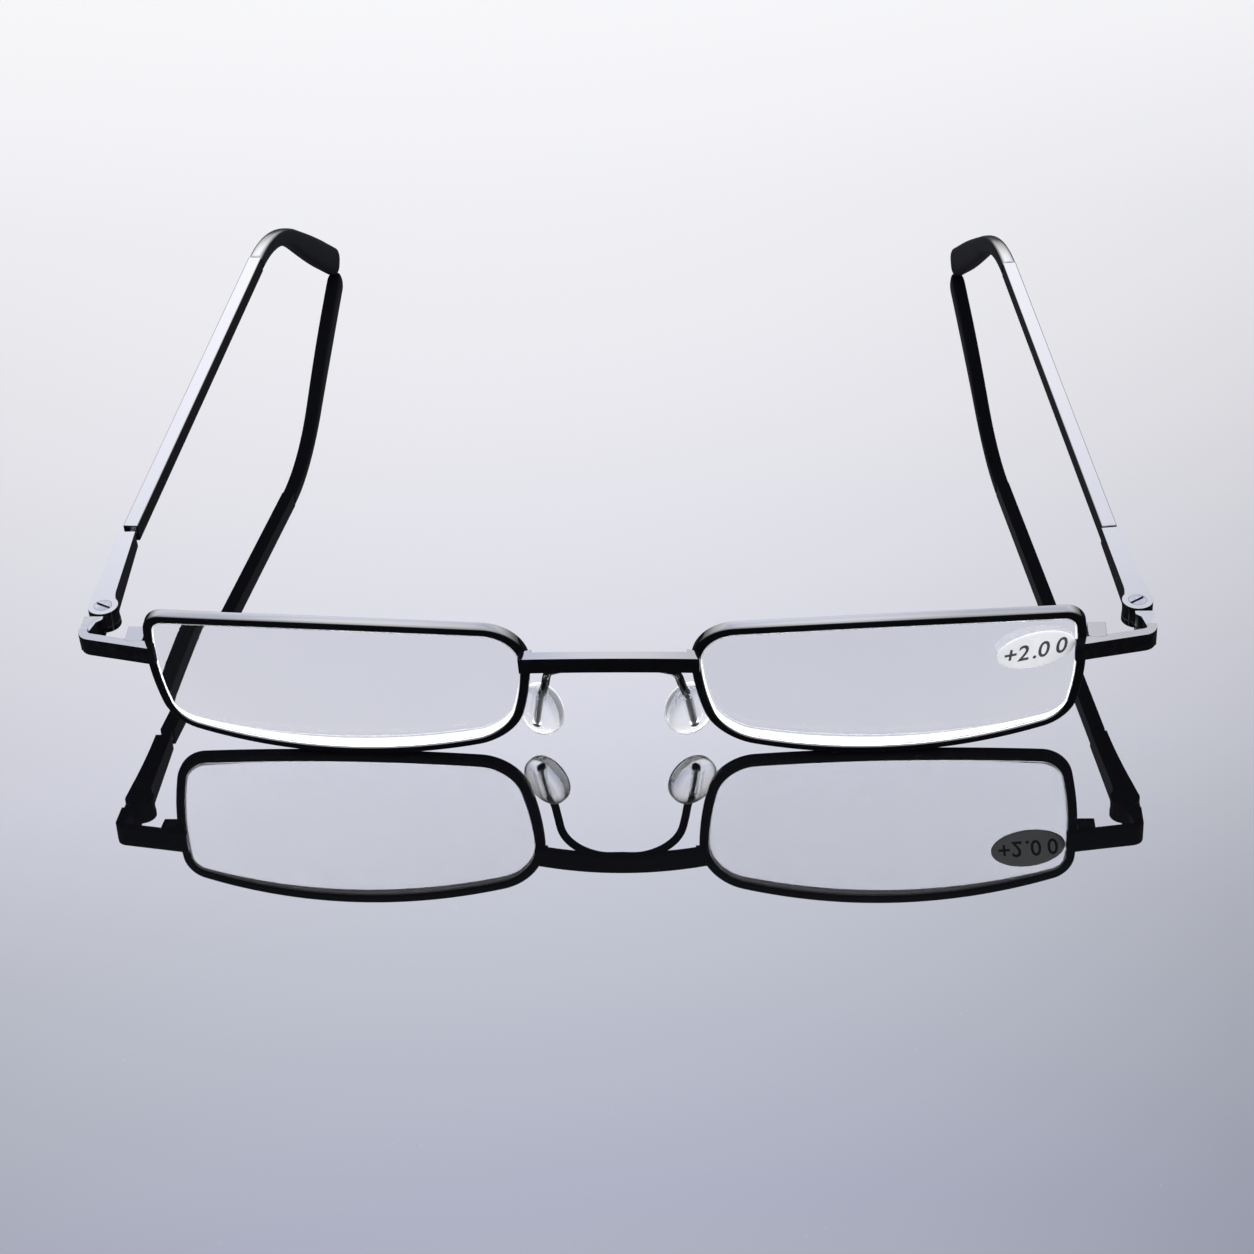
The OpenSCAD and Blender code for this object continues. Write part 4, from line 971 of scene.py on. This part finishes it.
def ridge(x, y, z):
    if abs(x) >= RIDGE_R or y > PAD_OFF - RIDGE_FRONT:
        return y
    fade = min(1.0, max(0.0, (RIDGE_END - abs(z)) / RIDGE_FADE))
    gap = -math.sqrt(RIDGE_R ** 2 - x * x) - y
    lift = max(0.0, -gap) + RIDGE_BLEND * math.exp(-abs(gap) / RIDGE_BLEND)
    return y - lift * fade * fade * (3 - 2 * fade)

# %% Nose pads
def pad_ring(side, r, y):
    ring = []
    for x, z in ((r * math.cos(a), r * math.sin(a)) for a in round_angles(96)):
        ring.append(in_pad(side, x, ridge(x, y + PAD_OFF, z), z))
    return ring

for name, side in SIDES.items():
    rings = [pad_ring(side, r, y) for r, y in pad_profile()]
    pad = add_object("silicone_pad_" + name, skin("silicone_pad_" + name, rings, degrees=60))
    finish_piece(pad, "pad_" + name, "pad_silicone", SILICONE, "nose_pad_" + name)

# %% [markdown]
# ## Table and light
# The glasses stand on a dark glossy sheet that looks pale because it mirrors a bright studio. That is also why the
# mirror image of the black frame is dark. The sheet is glossy to the camera and through glass. To every other ray it
# is a plain dark sheet, so that the frame doesn't mirror a pale table.

# %% Table
def table_finish():
    material = layered("table_gloss", grain=60.0, tones=((0.0016, 0.0017, 0.0022), (0.0024, 0.0025, 0.0032)),
                       rough=(0.006, 0.016), dust=(420.0, 0.06, (0.30, 0.30, 0.31)), IOR=1.45)
    tree = material.node_tree
    path = tree.nodes.new("ShaderNodeLightPath").outputs
    seen = maths(tree, "MAXIMUM", path["Is Camera Ray"], path["Is Transmission Ray"])
    dark = plain_shader(tree, "BsdfDiffuse", (0.02, 0.02, 0.023))
    show(material, mixed(tree, seen, dark, surface_of(material)))
    return material

def table_mesh(radius=4.0, sides=96):
    radii = (0.05, 0.1, 0.3, 1.0, radius)
    points = [(0.0, 0.0, 0.0)] + [(r * math.cos(a), r * math.sin(a), 0.0) for r in radii for a in round_angles(sides)]
    faces = [(0, 1 + k, 1 + (k + 1) % sides) for k in range(sides)]
    for i in range(len(radii) - 1):
        a, b = 1 + i * sides, 1 + (i + 1) * sides
        faces += [(a + k, b + k, b + (k + 1) % sides, a + (k + 1) % sides) for k in range(sides)]
    mesh = bpy.data.meshes.new("table")
    mesh.from_pydata(points, [], faces)
    return mesh

table = add_object("table", table_mesh())
table.data.materials.append(table_finish())
print("table has", len(table.data.polygons), "faces")

# %% [markdown]
# The world is what the table and the glasses mirror. Diffuse rays see a plain level, and the camera, also through
# glass, a pale background. Glossy rays see a bright, soft sky dome, whose height decides what each row of the table
# mirrors, and which falls off to both sides. A ray that the table and then the frame have mirrored finds it almost
# dark, which keeps the frame's mirror image black, while a ray through a pad or a lens keeps the bright dome.

# %% Sky dome
# The dome's brightness, as (sine of the height, red, green, blue)
SKY = ((0.0, 1.0, 1.0, 1.0), (0.087, 1.55, 1.55, 1.55), (0.174, 2.5, 2.5, 2.5), (0.259, 3.9, 3.9, 3.95),
       (0.342, 5.8, 5.8, 5.95), (0.417, 7.6, 7.6, 7.9), (0.485, 9.45, 9.45, 9.95), (0.532, 10.5, 10.5, 11.4),
       (0.581, 11.15, 11.3, 12.7), (0.634, 10.6, 11.0, 12.5), (0.675, 10.3, 10.8, 12.7), (0.713, 9.8, 10.3, 12.8),
       (0.735, 10.3, 10.6, 12.5), (0.77, 12.4, 12.5, 13.3), (0.86, 14.0, 14.1, 14.8), (1.0, 13.0, 13.1, 13.8))
BRIGHTEST = 15.0

def sky_colour(tree, height):
    ramp = tree.nodes.new("ShaderNodeValToRGB")
    stops = ramp.color_ramp.elements
    while len(stops) < len(SKY):
        stops.new(0.5)
    for stop, (at, *colour) in zip(stops, SKY):
        stop.position, stop.color = at, (*(c / BRIGHTEST for c in colour), 1.0)
    tree.links.new(height, ramp.inputs[0])
    return ramp.outputs[0]

# %% Level of the dome
TWICE_MIRRORED = 0.06
SIDE_FALL, SIDE_MIDDLE, DARKEST_SIDE = 3.8, -0.12, 0.75
FALL_FROM, FALL_TO, LOW_FALL = 0.35, 0.63, 0.15

def sky_level(tree, path, x, height):
    once = maths(tree, "LESS_THAN", path["Glossy Depth"], 1.5)
    bright = maths(tree, "MAXIMUM", once, path["Is Transmission Ray"])
    level = spread(tree, bright, 0.0, 1.0, TWICE_MIRRORED * BRIGHTEST, BRIGHTEST)
    sideways = maths(tree, "POWER", maths(tree, "SUBTRACT", x, SIDE_MIDDLE), 2.0)
    fall = product(tree, sideways, spread(tree, height, FALL_FROM, FALL_TO, LOW_FALL * SIDE_FALL, SIDE_FALL))
    return product(tree, level, maths(tree, "MAXIMUM", maths(tree, "SUBTRACT", 1.0, fall), DARKEST_SIDE))

# %% World
ROOM, ROOM_LEVEL = (0.97, 0.98, 1.0, 1.0), 2.0
BACKDROP, BACKDROP_LEVEL = (0.88, 0.89, 0.92, 1.0), 1.0

def world_light(tree, colour, strength):
    return wired(tree, "ShaderNodeBackground", Color=colour, Strength=strength).outputs[0]

def build_world():
    world = bpy.data.worlds.new("studio")
    world.use_nodes = True
    bpy.context.scene.world = world
    tree = world.node_tree
    tree.nodes.clear()
    path = tree.nodes.new("ShaderNodeLightPath").outputs
    direction = tree.nodes.new("ShaderNodeTexCoord").outputs["Generated"]
    x, _, height = wired(tree, "ShaderNodeSeparateXYZ", Vector=direction).outputs
    dome = world_light(tree, sky_colour(tree, height), sky_level(tree, path, x, height))
    room, backdrop = world_light(tree, ROOM, ROOM_LEVEL), world_light(tree, BACKDROP, BACKDROP_LEVEL)
    unmirrored = maths(tree, "LESS_THAN", path["Glossy Depth"], 0.5)
    through_glass = product(tree, path["Is Transmission Ray"], unmirrored)
    seen = maths(tree, "MAXIMUM", path["Is Camera Ray"], through_glass)
    light = mixed(tree, seen, mixed(tree, path["Is Glossy Ray"], room, dome), backdrop)
    wired(tree, "ShaderNodeOutputWorld", Surface=light)
    print("world with", len(tree.nodes), "nodes")

build_world()

# %% [markdown]
# One wide, weak lamp hangs above and behind the glasses. It gives the matt surfaces a soft direction and the table a
# faint shadow. It shows in no mirror, because the dome already gives the gloss its shape.

# %% Lamp
lamp = bpy.data.lights.new("lamp_above", "AREA")
lamp.shape, lamp.size, lamp.energy = "DISK", 0.7, 2.2
above = add_object("lamp_above", lamp)
above.location = (0.25, 0.35, 0.9)
above.rotation_euler = (-above.location).to_track_quat("-Z", "Y").to_euler()
above.visible_glossy = above.visible_transmission = False
print("lamp", round(above.location.length, 2), "m from the glasses")

# %% [markdown]
# ## Colours
# The Standard view shows each colour as it is written.

# %% Colours
bpy.context.scene.view_settings.view_transform = "Standard"
